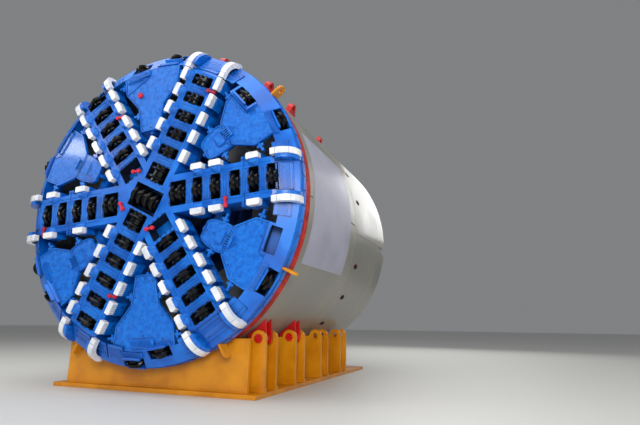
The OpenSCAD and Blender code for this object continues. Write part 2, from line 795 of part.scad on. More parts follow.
// Outer form of the whole cutterhead, from its back to its face
module head_form()
    rotate_extrude($fn = fine_n)
        polygon([[0, head_gap], [head_r, head_gap], [head_r, rim_h], [bevel_r, face_h], [0, face_h]]);

// Height of the cutterhead's front at a radius
function front_h(r) = r < bevel_r ? face_h
    : face_h - (r - bevel_r) * (face_h - rim_h) / (head_r - bevel_r);

module each_spoke() for (i = [0:spoke_n - 1]) rotate([0, 0, spoke_a - 60 * i]) children();

module each_bay() for (i = [0:spoke_n - 1]) rotate([0, 0, spoke_a + 30 - 60 * i]) children();

module mirrored() for (s = [0, 1]) mirror([0, s]) children();

module centre_place() rotate([0, 0, spoke_a - 90]) children();

// Outline of a bay, moved inwards by a gap
module bay_outline(gap)
    intersection() {
        circle(rim_in - gap, $fn = fine_n);
        polygon([[spoke_w + 2 * gap, 0],
                 [spoke_w + 2 * gap + head_r * cos(30), head_r * sin(30)],
                 [spoke_w + 2 * gap + head_r * cos(30), -head_r * sin(30)]]);
    }

// Spokes and their middle: the head's form inside the rim, less the bays and the pockets
module head_spokes() color("dodgerblue")
    at_axis() difference() {
        union() {
            difference() {
                intersection() {
                    head_form();
                    cylinder(h = 2 * face_h, r = rim_in - seat_gap, $fn = fine_n);
                }
                each_bay() translate([0, 0, -overlap]) linear_extrude(2 * face_h) bay_outline(0);
            }
            // flanges of the bolted joints, beside the spokes
            for (j = JOINTS, s = [0, 1], k = [-1, 1]) rotate([0, 0, spoke_a - 60 * j[0]]) mirror([0, s, 0])
                translate([j[1] + k * 45 - 35, spoke_w / 2 - overlap, face_h - seat_d])
                    cube([70, joint_out + overlap, seat_d - 10]);
        }
        for (i = [0:spoke_n - 1]) rotate([0, 0, spoke_a - 60 * i]) {
            row_pockets(CUTTER_ROWS[i]);
            for (s = [0, 1]) mirror([0, s, 0])
                translate([arm_r, groove_v - groove_w / 2, face_h - groove_w])
                    cube([bevel_r - arm_r - 40, groove_w, 2 * groove_w]);
        }
        for (j = JOINTS) rotate([0, 0, spoke_a - 60 * j[0]])
            translate([j[1] - joint_w / 2, -spoke_w / 2 - overlap, face_h - 2 * joint_w])
                cube([joint_w, spoke_w + 2 * overlap, 3 * joint_w]);
        centre_place() translate([-centre_w / 2, -pocket_l / 2, pocket_floor])
            cube([centre_w, pocket_l, face_h]);
    }

// Rim round the spokes, with its hard-faced strips and the pockets of the outer gauge cutters
module head_rim() color("dodgerblue")
    at_axis() difference() {
        union() {
            difference() {
                head_form();
                translate([0, 0, -overlap]) cylinder(h = 2 * face_h, r = rim_in, $fn = fine_n);
            }
            for (p = RIM_STRIPS) intersection() {
                translate([0, 0, strip_h]) head_form();
                rotate([0, 0, p[0]]) translate([head_r - p[2], -p[1], rim_h - strip_h])
                    cube([p[2] - p[3], 2 * p[1], face_h]);
            }
            for (g = POCKETS) if (g[1] < rim_w - 120) gauge_place(g) gauge_bars();
        }
        for (g = POCKETS) gauge_place(g) gauge_pocket();
    }

// Wear plates round the rim, in a row that the lifting lugs interrupt
module rim_wear_band() color("dodgerblue")
    at_axis() difference() {
        rotate_extrude($fn = fine_n)
            translate([head_r + seat_gap, band_y]) square([band_t - seat_gap, band_w]);
        for (i = [0:band_n - 1]) rotate([0, 0, i * 360 / band_n])
            translate([head_r - band_t, -band_slot / 2, 0]) cube([3 * band_t, band_slot, rim_h]);
        for (a = HEAD_LUGS) rotate([0, 0, a])
            translate([head_r - band_t, -head_lug_t / 2 - seat_gap, 0])
                cube([3 * band_t, head_lug_t + 2 * seat_gap, rim_h]);
    }

// Works at a gauge cutter's axle, x outwards along it and z out of the head
module gauge_place(g)
    rotate([0, 0, g[0]]) translate([head_r - g[1], 0, front_h(head_r - g[1]) - gauge_d]) rotate([0, g[2], 0]) children();

module gauge_box(grow = 0, rise = 0)
    translate([-case_w / 2 - grow, -case_l / 2 - grow, -case_d - grow])
        cube([case_w + 2 * grow, case_l + 2 * grow, case_d + case_h + rise + 2 * grow]);

// Raised bars at both sides of a gauge cutter's pocket
module gauge_bars()
    for (s = [-1, 1])
        translate([s * (pocket_w + case_bar) / 2 - case_bar / 2, -pocket_l / 2 + case_bar, 0])
            cube([case_bar, pocket_l - 2 * case_bar, case_h + case_bar]);

module gauge_pocket()
    translate([-pocket_w / 2, -pocket_l / 2, -pocket_w]) cube([pocket_w, pocket_l, face_h]);

// Whether a single cutter at a radius has its place on the spoke
function fits(r) = r > 0 && r + pocket_w / 2 < rim_in;

module row_pockets(row) {
    for (k = [0:4]) if (fits(row[k])) pocket(row[k], pocket_w);
    for (k = [5, 6]) if (row[k] > 0) pocket(row[k], twin_w);
}

module pocket(r, w)
    translate([r - w / 2, -pocket_l / 2, pocket_floor]) cube([w, pocket_l, face_h]);

// Plates that close part of each bay, with the rib and the tie bar under them
module head_panels() color("dodgerblue")
    at_axis() difference() {
        union() {
            for (i = [0:spoke_n - 1]) rotate([0, 0, spoke_a + 30 - 60 * i])
                if (SPLIT_PANEL[i]) {
                    panel_plate(INNER_PLATE);
                    panel_plate(OUTER_PLATE);
                    panel_bars(SPLIT_BARS);
                    panel_hinge();
                    panel_rib();
                } else {
                    panel_plate(WHOLE_PLATE);
                    panel_bars(WHOLE_BARS);
                    panel_rib();
                }
            for (p = PLATE_STRIPS) rotate([0, 0, p[0]])
                translate([head_r - p[2], -p[1], panel_h - overlap])
                    cube([p[2] - p[3], 2 * p[1], strip_h + overlap]);
        }
        for (g = POCKETS) gauge_place(g) {
            gauge_box(seat_gap, 3 * case_bar);
            gauge_pocket();
        }
    }

module panel_plate(outline)
    translate([0, 0, panel_h - panel_t]) linear_extrude(panel_t) intersection() {
        circle(rim_in - seat_gap, $fn = fine_n);
        mirrored() polygon(outline);
    }

// Rib from the tie bar out to the rim, and the straight tie bar between two spokes
module panel_rib() {
    translate([0, 0, head_gap]) linear_extrude(panel_h - panel_t - head_gap + overlap) intersection() {
        circle(rim_in - seat_gap, $fn = fine_n);
        translate([tie_r + overlap, -rib_t / 2]) square([rim_in - tie_r, rib_t]);
    }
    translate([0, 0, head_gap]) linear_extrude(tie_h - head_gap) intersection() {
        bay_outline(seat_gap);
        translate([tie_r, -head_r / 2]) square([tie_w, head_r]);
    }
}

// Bars that stand out from both edges of a plate, each with a crossbar
module panel_bars(bars)
    translate([0, 0, panel_h - panel_t]) linear_extrude(panel_t - 10) intersection() {
        circle(rim_in - seat_gap, $fn = fine_n);
        mirrored() for (b = bars) {
            translate([b[0] - bar_w / 2, b[1] - 40]) square([bar_w, b[2] - b[1] + 40]);
            translate([b[0] - bar_w * 1.5, b[1] + (b[2] - b[1]) * 0.3]) square([bar_w * 3, bar_w]);
        }
    }

// Hinge bracket that joins the two plates of a split panel: a bar, its fingers and a pad
module panel_hinge()
    translate([split_r, 0, panel_h - overlap]) {
        translate([90, -hinge_l / 2, 0]) cube([60, hinge_l, 60]);
        for (v = [-2:2]) translate([-60, v * 60 - 13, 0]) cube([160, 26, 40]);
        translate([-310, -hinge_l / 2, 0]) cube([200, hinge_l, 24]);
    }

// Cases of the gauge cutters inside the rim
module gauge_cases() color("dodgerblue")
    at_axis() for (g = POCKETS) if (g[1] > rim_w - 120) difference() {
        intersection() {
            gauge_place(g) union() {
                gauge_box();
                translate([0, 0, case_h - case_bar]) gauge_bars();
            }
            translate([0, 0, head_gap]) cylinder(h = 2 * face_h, r = rim_in - seat_gap, $fn = fine_n);
        }
        gauge_place(g) gauge_pocket();
    }

// Arms and ring that bolt the spokes to the drive, and mixing bars on three of the spokes
module drive_arms() color("navy")
    at_axis() {
        each_spoke() translate([arm_r - arm_w / 2, -arm_w / 2, -(drive_y - arm_ring_t)])
            cube([arm_w, arm_w, drive_y - arm_ring_t + head_gap - seat_gap]);
        translate([0, 0, -(drive_y - seat_gap)]) linear_extrude(arm_ring_t) difference() {
            circle(arm_r + arm_ring_w / 2, $fn = fine_n);
            circle(arm_r - arm_ring_w / 2, $fn = fine_n);
        }
        for (i = [1:2:spoke_n - 1]) rotate([0, 0, spoke_a - 60 * i])
            translate([head_mixer_at, 0, -mixer_len]) cylinder(h = mixer_len + head_gap - seat_gap, r = mixer_r);
    }

// Rotary joint that brings water and foam through the drive to the head
module centre_joint() color("silver")
    at_axis() translate([0, 0, head_gap - seat_gap]) rotate_extrude()
        polygon([[0, 0], [joint_r + 2 * flange_w, 0], [joint_r + 2 * flange_w, -2 * flange_t],
                 [joint_r, -2 * flange_t], [joint_r, -drive_end - drive_tail + 100],
                 [joint_r - flange_w, -drive_end - drive_tail + 100],
                 [joint_r - flange_w, -drive_end - drive_tail], [0, -drive_end - drive_tail]]);

// Places its children on both sides of each spoke, y away from the spoke
module each_scraper()
    at_axis() for (i = [0:spoke_n - 1]) rotate([0, 0, spoke_a - 60 * i])
        for (r = SCRAPERS[i], s = [0, 1]) if (r + scraper_l / 2 < edge_x - edge_lead)
            mirror([0, s, 0]) translate([r, spoke_w / 2 + seat_gap, 0]) children();

module scraper_blades() color("white")
    each_scraper() translate([0, 0, face_h - scraper_d]) linear_extrude(scraper_d + scraper_h) blade_outline();

// Blade seen from the front, with clipped corners and a toothed outer edge
module blade_outline()
    difference() {
        polygon([[-scraper_l / 2, 0], [scraper_l / 2, 0], [scraper_l / 2, scraper_w - 30],
                 [scraper_l / 2 - 30, scraper_w], [-scraper_l / 2 + 30, scraper_w],
                 [-scraper_l / 2, scraper_w - 30]]);
        for (k = [-2:2]) translate([k * scraper_l / 6 - 7, scraper_w - 14]) square([14, 15]);
    }

// Holder under each blade, and the half cone that leads the soil over the spoke to it
module scraper_backs() color("dodgerblue") {
    each_scraper() {
        translate([-scraper_l / 2, 0, face_h - scraper_d - seat_d - seat_gap])
            cube([scraper_l, scraper_w, seat_d]);
        intersection() {
            translate([0, 0, face_h + seat_gap])
                cylinder(h = scraper_h - 20, r1 = scraper_l / 2, r2 = scraper_l / 3.2);
            translate([-scraper_l / 2, -scraper_l / 2 - seat_gap, 0]) cube([scraper_l, scraper_l / 2, 2 * face_h]);
        }
    }
    // round backs of the edge scrapers
    at_axis() each_spoke() for (s = [0, 1]) mirror([0, s, 0]) difference() {
        translate([0, spoke_w / 2, 0]) rotate([90, 0, 0]) linear_extrude(lobe_w) intersection() {
            translate([edge_x, edge_z]) circle(edge_r - 20, $fn = fine_n);
            translate([edge_x, edge_low]) square([edge_r, 2 * face_h]);
        }
        head_cut();
    }
}

// The head's form, a seat's gap larger, to cut what lies on it
module head_cut() {
    translate([0, 0, seat_gap]) head_form();
    cylinder(h = rim_h + seat_gap, r = head_r + seat_gap, $fn = fine_n);
}

module edge_scrapers() color("white")
    at_axis() each_spoke() for (s = [0, 1]) mirror([0, s, 0]) difference() {
        translate([0, spoke_w / 2 + seat_gap + scraper_w, 0]) rotate([90, 0, 0])
            linear_extrude(scraper_w) edge_profile();
        head_cut();
    }

// Side view of an edge scraper, in radius and height, wrapping over the rim
module edge_profile()
    difference() {
        union() {
            translate([edge_x - edge_lead, edge_z + edge_r - edge_t]) square([edge_lead + overlap, edge_t]);
            intersection() {
                translate([edge_x, edge_z]) circle(edge_r, $fn = fine_n);
                translate([edge_x, edge_z]) square(edge_r);
            }
            translate([edge_x + edge_r - edge_t, edge_low]) square([edge_t, edge_z - edge_low + overlap]);
        }
        translate([edge_x, edge_z]) circle(edge_r - edge_t, $fn = fine_n);
    }

// Bone-shaped covers over the nozzles at the spokes' edges, and two round plugs
module nozzle_covers() color("crimson")
    at_axis() {
        for (n = NOZZLES) if (n[1] + bone_l / 2 < edge_x - edge_lead)
            rotate([0, 0, spoke_a - 60 * n[0]]) translate([n[1], n[2], face_h + seat_gap]) rotate([0, 0, n[3]]) {
                for (s = [-1, 1]) translate([s * (bone_l / 2 - bone_r), 0, 0]) cylinder(h = bone_t, r = bone_r);
                translate([-bone_l / 2 + bone_r, -bone_w / 2, 0]) cube([bone_l - 2 * bone_r, bone_w, bone_t]);
            }
        rotate([0, 0, 100.6]) translate([plug_r, 0, panel_h + seat_gap]) cylinder(h = bone_t, r = bone_r * 1.5);
    }

module head_lugs() color("orange")
    for (a = HEAD_LUGS)
        radial_plate(a, head_lug_t) difference() {
            union() {
                translate([head_r + seat_gap, -head_lug_y]) square([head_lug_out, head_lug_w]);
                translate([head_r + head_lug_out, -head_lug_y + head_lug_w / 2]) circle(head_lug_w / 2);
            }
            translate([head_r + head_lug_out, -head_lug_y + head_lug_w / 2]) circle(head_lug_hole_r);
        }

module cutter_shafts() color("dimgray")
    at_axis() {
        for (i = [0:spoke_n - 1]) rotate([0, 0, spoke_a - 60 * i]) {
            for (k = [0:4]) if (fits(CUTTER_ROWS[i][k])) shaft(CUTTER_ROWS[i][k], pocket_w);
            if (CUTTER_ROWS[i][5] > 0) shaft(CUTTER_ROWS[i][5], twin_w);
        }
        centre_place() shaft(0, centre_w);
        for (g = GAUGE) gauge_place(g) translate([0, 0, -axle_h]) shaft(0, pocket_w);
    }

// Fixed shaft across a pocket
module shaft(r, w)
    translate([r - w / 2, 0, axle_h]) rotate([0, 90, 0]) cylinder(h = w, r = shaft_r);

// Disc cutter on its axis at a radius, with rings at the given offsets
module cutter(r, len, rings)
    translate([r, 0, axle_h]) rotate([0, 90, 0]) difference() {
        union() {
            cylinder(h = len, r = hub_r, center = true);
            for (o = rings) translate([0, 0, o]) cutter_ring();
        }
        cylinder(h = len + 2 * overlap, r = shaft_r + shaft_fit, center = true);
    }

module cutter_ring()
    rotate_extrude()
        polygon([[hub_r - 10, -disc_w / 2], [disc_r - 35, -disc_w / 2], [disc_r, -10], [disc_r, 10],
                 [disc_r - 35, disc_w / 2], [hub_r - 10, disc_w / 2]]);

module cutter_row(i) color("black")
    at_axis() rotate([0, 0, spoke_a - 60 * i]) {
        for (k = [0:4]) if (fits(CUTTER_ROWS[i][k])) cutter(CUTTER_ROWS[i][k], hub_len, [0]);
        if (CUTTER_ROWS[i][5] > 0) cutter(CUTTER_ROWS[i][5], twin_len, [-twin_len / 4, twin_len / 4]);
    }

module cutters_centre() color("black")
    at_axis() centre_place()
        for (s = [-1, 1]) cutter(s * (twin_len + pocket_gap) / 2, twin_len, [-twin_len / 4, twin_len / 4]);

module gauge_cutter(i) color("black")
    at_axis() gauge_place(GAUGE[i]) translate([0, 0, -axle_h]) cutter(0, hub_len, [0]);

front_shield();
cutting_ring();
middle_shield();
tail_shield();
tail_brushes();
probe_pipes();
bulkhead();
main_drive();
drive_motors();
work_platforms();
thrust_ring();
thrust_barrels();
screw_casing();
screw_drive();
discharge_chute();
erector_mount();
manlock();
lifting_lugs();
shield_feet();
foot_pins();
cradle_base();
cradle_saddles();
head_spokes();
head_rim();
rim_wear_band();
head_panels();
gauge_cases();
drive_arms();
centre_joint();
scraper_blades();
scraper_backs();
edge_scrapers();
nozzle_covers();
head_lugs();
cutter_shafts();
for (i = [0:spoke_n - 1]) cutter_row(i);
cutters_centre();
for (i = [0:len(GAUGE) - 1]) gauge_cutter(i);
thrust_rods(0);  // thrust_rods_right
thrust_rods(1);  // thrust_rods_top
thrust_rods(2);  // thrust_rods_left
thrust_rods(3);  // thrust_rods_bottom
erector_rotor();
erector_head();
manlock_door();
discharge_gate();
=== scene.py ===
import math

import bmesh
import bpy
from mathutils import Euler, Matrix, Vector


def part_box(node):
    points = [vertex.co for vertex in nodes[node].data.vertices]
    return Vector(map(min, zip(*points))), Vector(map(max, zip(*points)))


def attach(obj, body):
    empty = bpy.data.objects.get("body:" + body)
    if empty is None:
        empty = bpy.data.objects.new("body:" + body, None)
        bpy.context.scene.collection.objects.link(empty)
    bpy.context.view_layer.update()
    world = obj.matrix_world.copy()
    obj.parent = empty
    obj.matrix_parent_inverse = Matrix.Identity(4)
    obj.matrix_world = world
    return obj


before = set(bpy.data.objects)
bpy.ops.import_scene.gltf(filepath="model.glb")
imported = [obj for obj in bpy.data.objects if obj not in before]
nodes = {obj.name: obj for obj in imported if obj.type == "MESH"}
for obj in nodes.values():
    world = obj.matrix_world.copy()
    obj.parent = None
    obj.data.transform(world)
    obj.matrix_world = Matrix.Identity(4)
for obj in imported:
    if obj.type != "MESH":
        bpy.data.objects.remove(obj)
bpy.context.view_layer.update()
print("frame loaded:", len(nodes), "nodes")

# Materials

mm = 0.001


def linear(hexColor):
    parts = [int(hexColor[i:i + 2], 16) / 255 for i in (1, 3, 5)]
    return tuple(c / 12.92 if c <= 0.04045 else ((c + 0.055) / 1.055) ** 2.4 for c in parts) + (1,)


# a setting that the node itself hasn't got is the value of its input of that name
def addNode(tree, kind, links=None, **settings):
    node = tree.nodes.new(kind)
    for key, value in settings.items():
        if hasattr(node, key):
            setattr(node, key, value)
        else:
            node.inputs[key.replace("_", " ")].default_value = value
    for socket, source in (links or {}).items():
        tree.links.new(source, node.inputs[socket])
    return node


# what every paint has where its own line says nothing else: dust on top, metres across a patch of
# tone, millimetres across the orange peel and its depth, and how dark the painted shade in its corners
# is
paintBase = dict(dust=0.0, patch=0.7, peel=3, relief=0.12, corner=0.5)
paintLooks = {
    # alkyd enamel sprayed thick on flame-cut steel plate: an even wet gloss over the mill skin, with
    # deep painted shade in its corners and recesses
    "azureEnamel": dict(color="#066CD6", shade="#045CC2", light="#0E7CE6", rough=0.32, coat=0.06,
                        corner=0.85),
    # the same enamel over welded hard facing, whose beads show through as a pebbled skin; its small
    # pale patches are painted highlights, like gleams on the beads, and its corners hold deep painted
    # shade
    "pebbledAzure": dict(color="#076FD8", shade="#0664CA", light="#0E7CE4", rough=0.27, coat=0.2,
                         peel=14, relief=0.8, patch=0.12, corner=0.85),
    # a darker copy of the azure enamel, painted shade where it lies dark: on the arms behind the head,
    # on the bay plates' bolts and in the painted shadow lines round the plates
    "shadedAzureEnamel": dict(color="#083C86", shade="#05285C", light="#0E509E", rough=0.42, coat=0.2),
    # two-pack polyurethane rolled on the shell: a satin gloss that mirrors the hall in long streaks
    "creamPolyurethane": dict(color="#8F8C82", shade="#85847D", light="#99958A", rough=0.36,
                              coat=0.15, patch=1.6, peel=5),
    # machine enamels sprayed on what stands inside, with a little dust on the faces that look up
    "machineCream": dict(color="#BFBBAE", shade="#A19D90", light="#CFCBBF", rough=0.38, coat=0.3,
                         dust=0.2),
    "motorBlue": dict(color="#1F4F96", shade="#173A70", light="#3169B5", rough=0.36, coat=0.3,
                      dust=0.16),
    "conveyorYellow": dict(color="#DFA01F", shade="#B57C12", light="#EEB744", rough=0.36, coat=0.3,
                           dust=0.16),
    # brushed enamels on the cradle and the red fittings: clean, deep in colour and lightly glossy
    "orangeEnamel": dict(color="#DB8C08", shade="#CE7E04", light="#E5960E", rough=0.34, coat=0.15),
    "redEnamel": dict(color="#D0100C", shade="#A60C08", light="#E0201A", rough=0.36, coat=0.15),
    # dull primer over crossed weld beads of hard facing
    "redPrimer": dict(color="#C62418", shade="#98180F", light="#DC3A2A", rough=0.55, coat=0.0,
                      patch=0.2, peel=8),
    # soft moulded rubber caps, dyed right through
    "crimsonRubber": dict(color="#D01C3C", shade="#A8142E", light="#E03450", rough=0.55, coat=0.0,
                          dust=0.08),
    # glossy enamel on the scrapers and over the shell's weld seams
    "whiteEnamel": dict(color="#F0F2F5", shade="#DDE2EA", light="#FAFAFA", rough=0.3, coat=0.4,
                        dust=0.08, patch=0.3),
    # printed vinyl sheet with nothing on it, drawn tight over the shell
    "lavenderVinyl": dict(color="#A9A9BB", shade="#A0A1B3", light="#B2B2C3", rough=0.45, coat=0.05,
                          patch=1.2),
}
paintFilm = {"tonesAt": (0.38, 0.52, 0.66), "cornerReach": 0.25, "cornerSpan": (0.15, 0.75),
             "cornerTone": 0.35, "dustColor": "#A9A59B", "dustFrom": 0.3, "edge": 7 * mm,
             "coatRough": 0.1}
# how far roughness falls and climbs round its value, over the middle of a noise's range
roughLess, roughMore, noiseLow, noiseHigh = 0.06, 0.1, 0.3, 0.7


def paint(name, look):
    look = paintBase | look
    peel = look["peel"] * mm
    mat = bpy.data.materials.new(name)
    mat.use_nodes = True
    tree = mat.node_tree
    shader = tree.nodes["Principled BSDF"]
    place = addNode(tree, "ShaderNodeTexCoord")
    cloudy = addNode(tree, "ShaderNodeTexNoise", {"Vector": place.outputs["Object"]},
                     Scale=1 / look["patch"], Detail=4.0, Roughness=0.5)
    tone = addNode(tree, "ShaderNodeValToRGB", {"Fac": cloudy.outputs["Fac"]})
    shadeAt, colorAt, lightAt = paintFilm["tonesAt"]
    tone.color_ramp.elements[0].position = shadeAt
    tone.color_ramp.elements[0].color = linear(look["shade"])
    tone.color_ramp.elements[1].position = lightAt
    tone.color_ramp.elements[1].color = linear(look["light"])
    tone.color_ramp.elements.new(colorAt).color = linear(look["color"])
    # painted shade: the colour darkens towards a dark shade tone in corners and recesses, where
    # ambient occlusion finds them
    corner = addNode(tree, "ShaderNodeAmbientOcclusion", Distance=paintFilm["cornerReach"],
                     samples=6)
    shade = addNode(tree, "ShaderNodeMapRange", {"Value": corner.outputs["AO"]},
                    From_Min=paintFilm["cornerSpan"][0], From_Max=paintFilm["cornerSpan"][1],
                    To_Min=look["corner"], To_Max=0.0)
    dim = addNode(tree, "ShaderNodeMix",
                  {"Factor": shade.outputs["Result"], "A": tone.outputs["Color"]}, data_type="RGBA")
    dark = [c * paintFilm["cornerTone"] for c in linear(look["shade"])[:3]]
    # grey dust that settles on faces that look up
    shape = addNode(tree, "ShaderNodeNewGeometry")
    upward = addNode(tree, "ShaderNodeSeparateXYZ", {"Vector": shape.outputs["Normal"]})
    settled = addNode(tree, "ShaderNodeMapRange", {"Value": upward.outputs["Z"]},
                      From_Min=paintFilm["dustFrom"], From_Max=1.0, To_Min=0.0, To_Max=look["dust"])
    dusty = addNode(tree, "ShaderNodeMix", {"Factor": settled.outputs["Result"]}, data_type="RGBA")
    tree.links.new(dim.outputs["Result"], dusty.inputs["A"])
    tree.links.new(dusty.outputs["Result"], shader.inputs["Base Color"])
    dim.inputs["B"].default_value = dark + [1]
    dusty.inputs["B"].default_value = linear(paintFilm["dustColor"])
    # rounded edges under a fine orange peel
    edge = addNode(tree, "ShaderNodeBevel", Radius=paintFilm["edge"], samples=4)
    skin = addNode(tree, "ShaderNodeTexNoise", {"Vector": place.outputs["Object"]},
                   Scale=1 / (2 * peel), Detail=2.0)
    bump = addNode(tree, "ShaderNodeBump",
                   {"Height": skin.outputs["Fac"], "Normal": edge.outputs["Normal"]},
                   Strength=look["relief"], Distance=peel)
    tree.links.new(bump.outputs["Normal"], shader.inputs["Normal"])
    handled = addNode(tree, "ShaderNodeMapRange", {"Value": cloudy.outputs["Fac"]},
                      From_Min=noiseLow, From_Max=noiseHigh,
                      To_Min=look["rough"] - roughLess, To_Max=look["rough"] + roughMore)
    tree.links.new(handled.outputs["Result"], shader.inputs["Roughness"])
    shader.inputs["Coat Weight"].default_value = look["coat"]
    shader.inputs["Coat Roughness"].default_value = paintFilm["coatRough"]
    return mat


metalSkin = {"stainScale": 9.0, "tonesAt": (0.35, 0.65), "edge": 4 * mm, "relief": 0.15}


# grain: the marks that the tool left, drawn ten times as coarse so that they show
def metal(name, color, dark, rough, grain=2 * mm, metallic=1.0, shine=0.5):
    mat = bpy.data.materials.new(name)
    mat.use_nodes = True
    tree = mat.node_tree
    shader = tree.nodes["Principled BSDF"]
    place = addNode(tree, "ShaderNodeTexCoord")
    stain = addNode(tree, "ShaderNodeTexNoise", {"Vector": place.outputs["Object"]},
                    Scale=metalSkin["stainScale"], Detail=4.0)
    tone = addNode(tree, "ShaderNodeValToRGB", {"Fac": stain.outputs["Fac"]})
    tone.color_ramp.elements[0].color = linear(dark)
    tone.color_ramp.elements[0].position = metalSkin["tonesAt"][0]
    tone.color_ramp.elements[1].color = linear(color)
    tone.color_ramp.elements[1].position = metalSkin["tonesAt"][1]
    tree.links.new(tone.outputs["Color"], shader.inputs["Base Color"])
    edge = addNode(tree, "ShaderNodeBevel", Radius=metalSkin["edge"], samples=4)
    marks = addNode(tree, "ShaderNodeTexNoise", {"Vector": place.outputs["Object"]},
                    Scale=1 / (10 * grain))
    bump = addNode(tree, "ShaderNodeBump",
                   {"Height": marks.outputs["Fac"], "Normal": edge.outputs["Normal"]},
                   Strength=metalSkin["relief"], Distance=grain)
    tree.links.new(bump.outputs["Normal"], shader.inputs["Normal"])
    worn = addNode(tree, "ShaderNodeMapRange", {"Value": stain.outputs["Fac"]},
                   From_Min=noiseLow, From_Max=noiseHigh,
                   To_Min=rough - roughLess, To_Max=rough + roughMore)
    tree.links.new(worn.outputs["Result"], shader.inputs["Roughness"])
    shader.inputs["Metallic"].default_value = metallic
    shader.inputs["Specular IOR Level"].default_value = shine
    return mat


finish = {name: paint(name, look) for name, look in paintLooks.items()}
# black lacquer over tool steel, wet with oil
finish["lacqueredToolSteel"] = metal("lacqueredToolSteel", "#07080B", "#030405", 0.2, metallic=0.0,
                                     shine=0.3)
# ground and plated rods: a clear mirror
finish["hardChrome"] = metal("hardChrome", "#C9CBCE", "#B4B7BA", 0.1, grain=0.5 * mm)
# drawn wire, dull with grease
finish["springWire"] = metal("springWire", "#6C6A66", "#3F3D3A", 0.45)
# zinc-plated bolts, clouded by handling
finish["zincBolt"] = metal("zincBolt", "#9C9E9A", "#74756F", 0.35)
# near-black primer: on the flame-cut housing walls it is painted shade deep in the pockets, which the
# light never reaches; it also colours dark lines, notches and plugs
finish["darkPrimerAndShade"] = metal("darkPrimerAndShade", "#0A0F1C", "#05070D", 0.55, metallic=0.0)

nodeFinish = {
    "azureEnamel": ["head_spokes", "head_rim", "rim_wear_band", "gauge_cases"],
    "pebbledAzure": ["head_panels", "scraper_backs"],
    # painted shade: the arms behind the head take the darker copy of the azure
    "shadedAzureEnamel": ["drive_arms"],
    "creamPolyurethane": ["front_shield", "middle_shield", "tail_shield"],
    "redPrimer": ["cutting_ring"],
    "springWire": ["tail_brushes"],
    "machineCream": ["bulkhead", "thrust_ring", "erector_mount", "manlock", "manlock_door",
                     "centre_joint"],
    "motorBlue": ["main_drive", "drive_motors", "screw_drive"],
    "orangeEnamel": ["thrust_barrels", "cradle_base", "cradle_saddles", "erector_rotor",
                     "erector_head", "head_lugs"],
    "conveyorYellow": ["screw_casing", "discharge_chute", "discharge_gate", "work_platforms"],
    "redEnamel": ["lifting_lugs", "shield_feet", "foot_pins", "probe_pipes"],
    "crimsonRubber": ["nozzle_covers"],
    "whiteEnamel": ["scraper_blades", "edge_scrapers"],
    "hardChrome": ["thrust_rods_right", "thrust_rods_top", "thrust_rods_left", "thrust_rods_bottom"],
    # the cutters and their shafts
    "lacqueredToolSteel": [name for name in nodes if "cutter" in name],
}
for look, members in nodeFinish.items():
    for member in members:
        nodes[member].data.materials.clear()
        nodes[member].data.materials.append(finish[look])
print("materials given")

# Places and small forms

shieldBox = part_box("front_shield")
shieldR = (shieldBox[1].x - shieldBox[0].x) / 2
axisZ = (shieldBox[1].z + shieldBox[0].z) / 2
faceH = -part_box("head_spokes")[0].y
rootBody, headBody = "shield_on_cradle", "cutterhead"

# lengths on the cutterhead, in metres from the axis or from the shield's front edge
head = {"spokeAngle": 64.2, "panelHeight": 0.59, "rimRadius": 4.02, "bevelRadius": 3.48,
        "rimHeight": 0.36, "pocketLength": 0.62, "stripHeight": 0.035}
spokeAngles = [head["spokeAngle"] - 60 * spoke for spoke in range(6)]
headAxis = Matrix.Translation((0, 0, axisZ)) @ Matrix.Rotation(math.radians(90), 4, "X")

# edges cut on the small plates, and the sides of rings as wide as the shield
plateBevel = 4 * mm
wideSides = 180


def turned(angle, axis="Z"):
    return Matrix.Rotation(math.radians(angle), 4, axis)


def moved(x, y, z):
    return Matrix.Translation((x, y, z))


# x outwards, y along the rim, z out of the face
def onHead(angle, radius, across, height):
    return headAxis @ turned(angle) @ moved(radius, across, height)


# x to the rear, y round the shell, z outwards
def onShell(angle, y, radius):
    return moved(0, y, axisZ) @ turned(90 - angle, "Y") @ moved(0, 0, radius) @ turned(90)


# x outwards, z to the rear
def onAxis(angle, radius, y):
    return moved(0, y, axisZ) @ turned(-90, "X") @ turned(-angle) @ moved(radius, 0, 0)


# degrees between two directions
def apart(a, b):
    return abs((a - b + 180) % 360 - 180)


def addBlock(form, at, size, bevel=0.0):
    made = bmesh.ops.create_cube(form, size=1.0, matrix=at @ Matrix.Diagonal((*size, 1)))
    if bevel:
        edges = list({e for v in made["verts"] for e in v.link_edges})
        bmesh.ops.bevel(form, geom=edges, offset=bevel, offset_type="OFFSET", affect="EDGES",
                        segments=1, profile=0.5, material=-1)


def addRound(form, at, radius, height, sides):
    bmesh.ops.create_cone(form, cap_ends=True, cap_tris=False, segments=sides, radius1=radius,
                          radius2=radius, depth=height, matrix=at @ moved(0, 0, height / 2))


# sizes of a bolt in radii of its head
boltForm = {"washer": 1.5, "washerThick": 0.3, "washerSides": 10, "head": 1.1, "headSides": 6}


def addBolt(form, at, radius):
    washerThick = radius * boltForm["washerThick"]
    addRound(form, at, radius * boltForm["washer"], washerThick, boltForm["washerSides"])
    addRound(form, at @ moved(0, 0, washerThick), radius, radius * boltForm["head"],
             boltForm["headSides"])


def addRing(form, at, inner, outer, height, sides=24):
    corners = [form.verts.new(at @ Vector(p)) for p in
               ((inner, 0, 0), (outer, 0, 0), (outer, 0, height), (inner, 0, height))]
    edges = [form.edges.new((corners[i], corners[i - 1])) for i in range(4)]
    bmesh.ops.spin(form, geom=corners + edges, cent=at.translation,
                   axis=at.to_3x3() @ Vector((0, 0, 1)), angle=math.tau, steps=sides, use_merge=True)


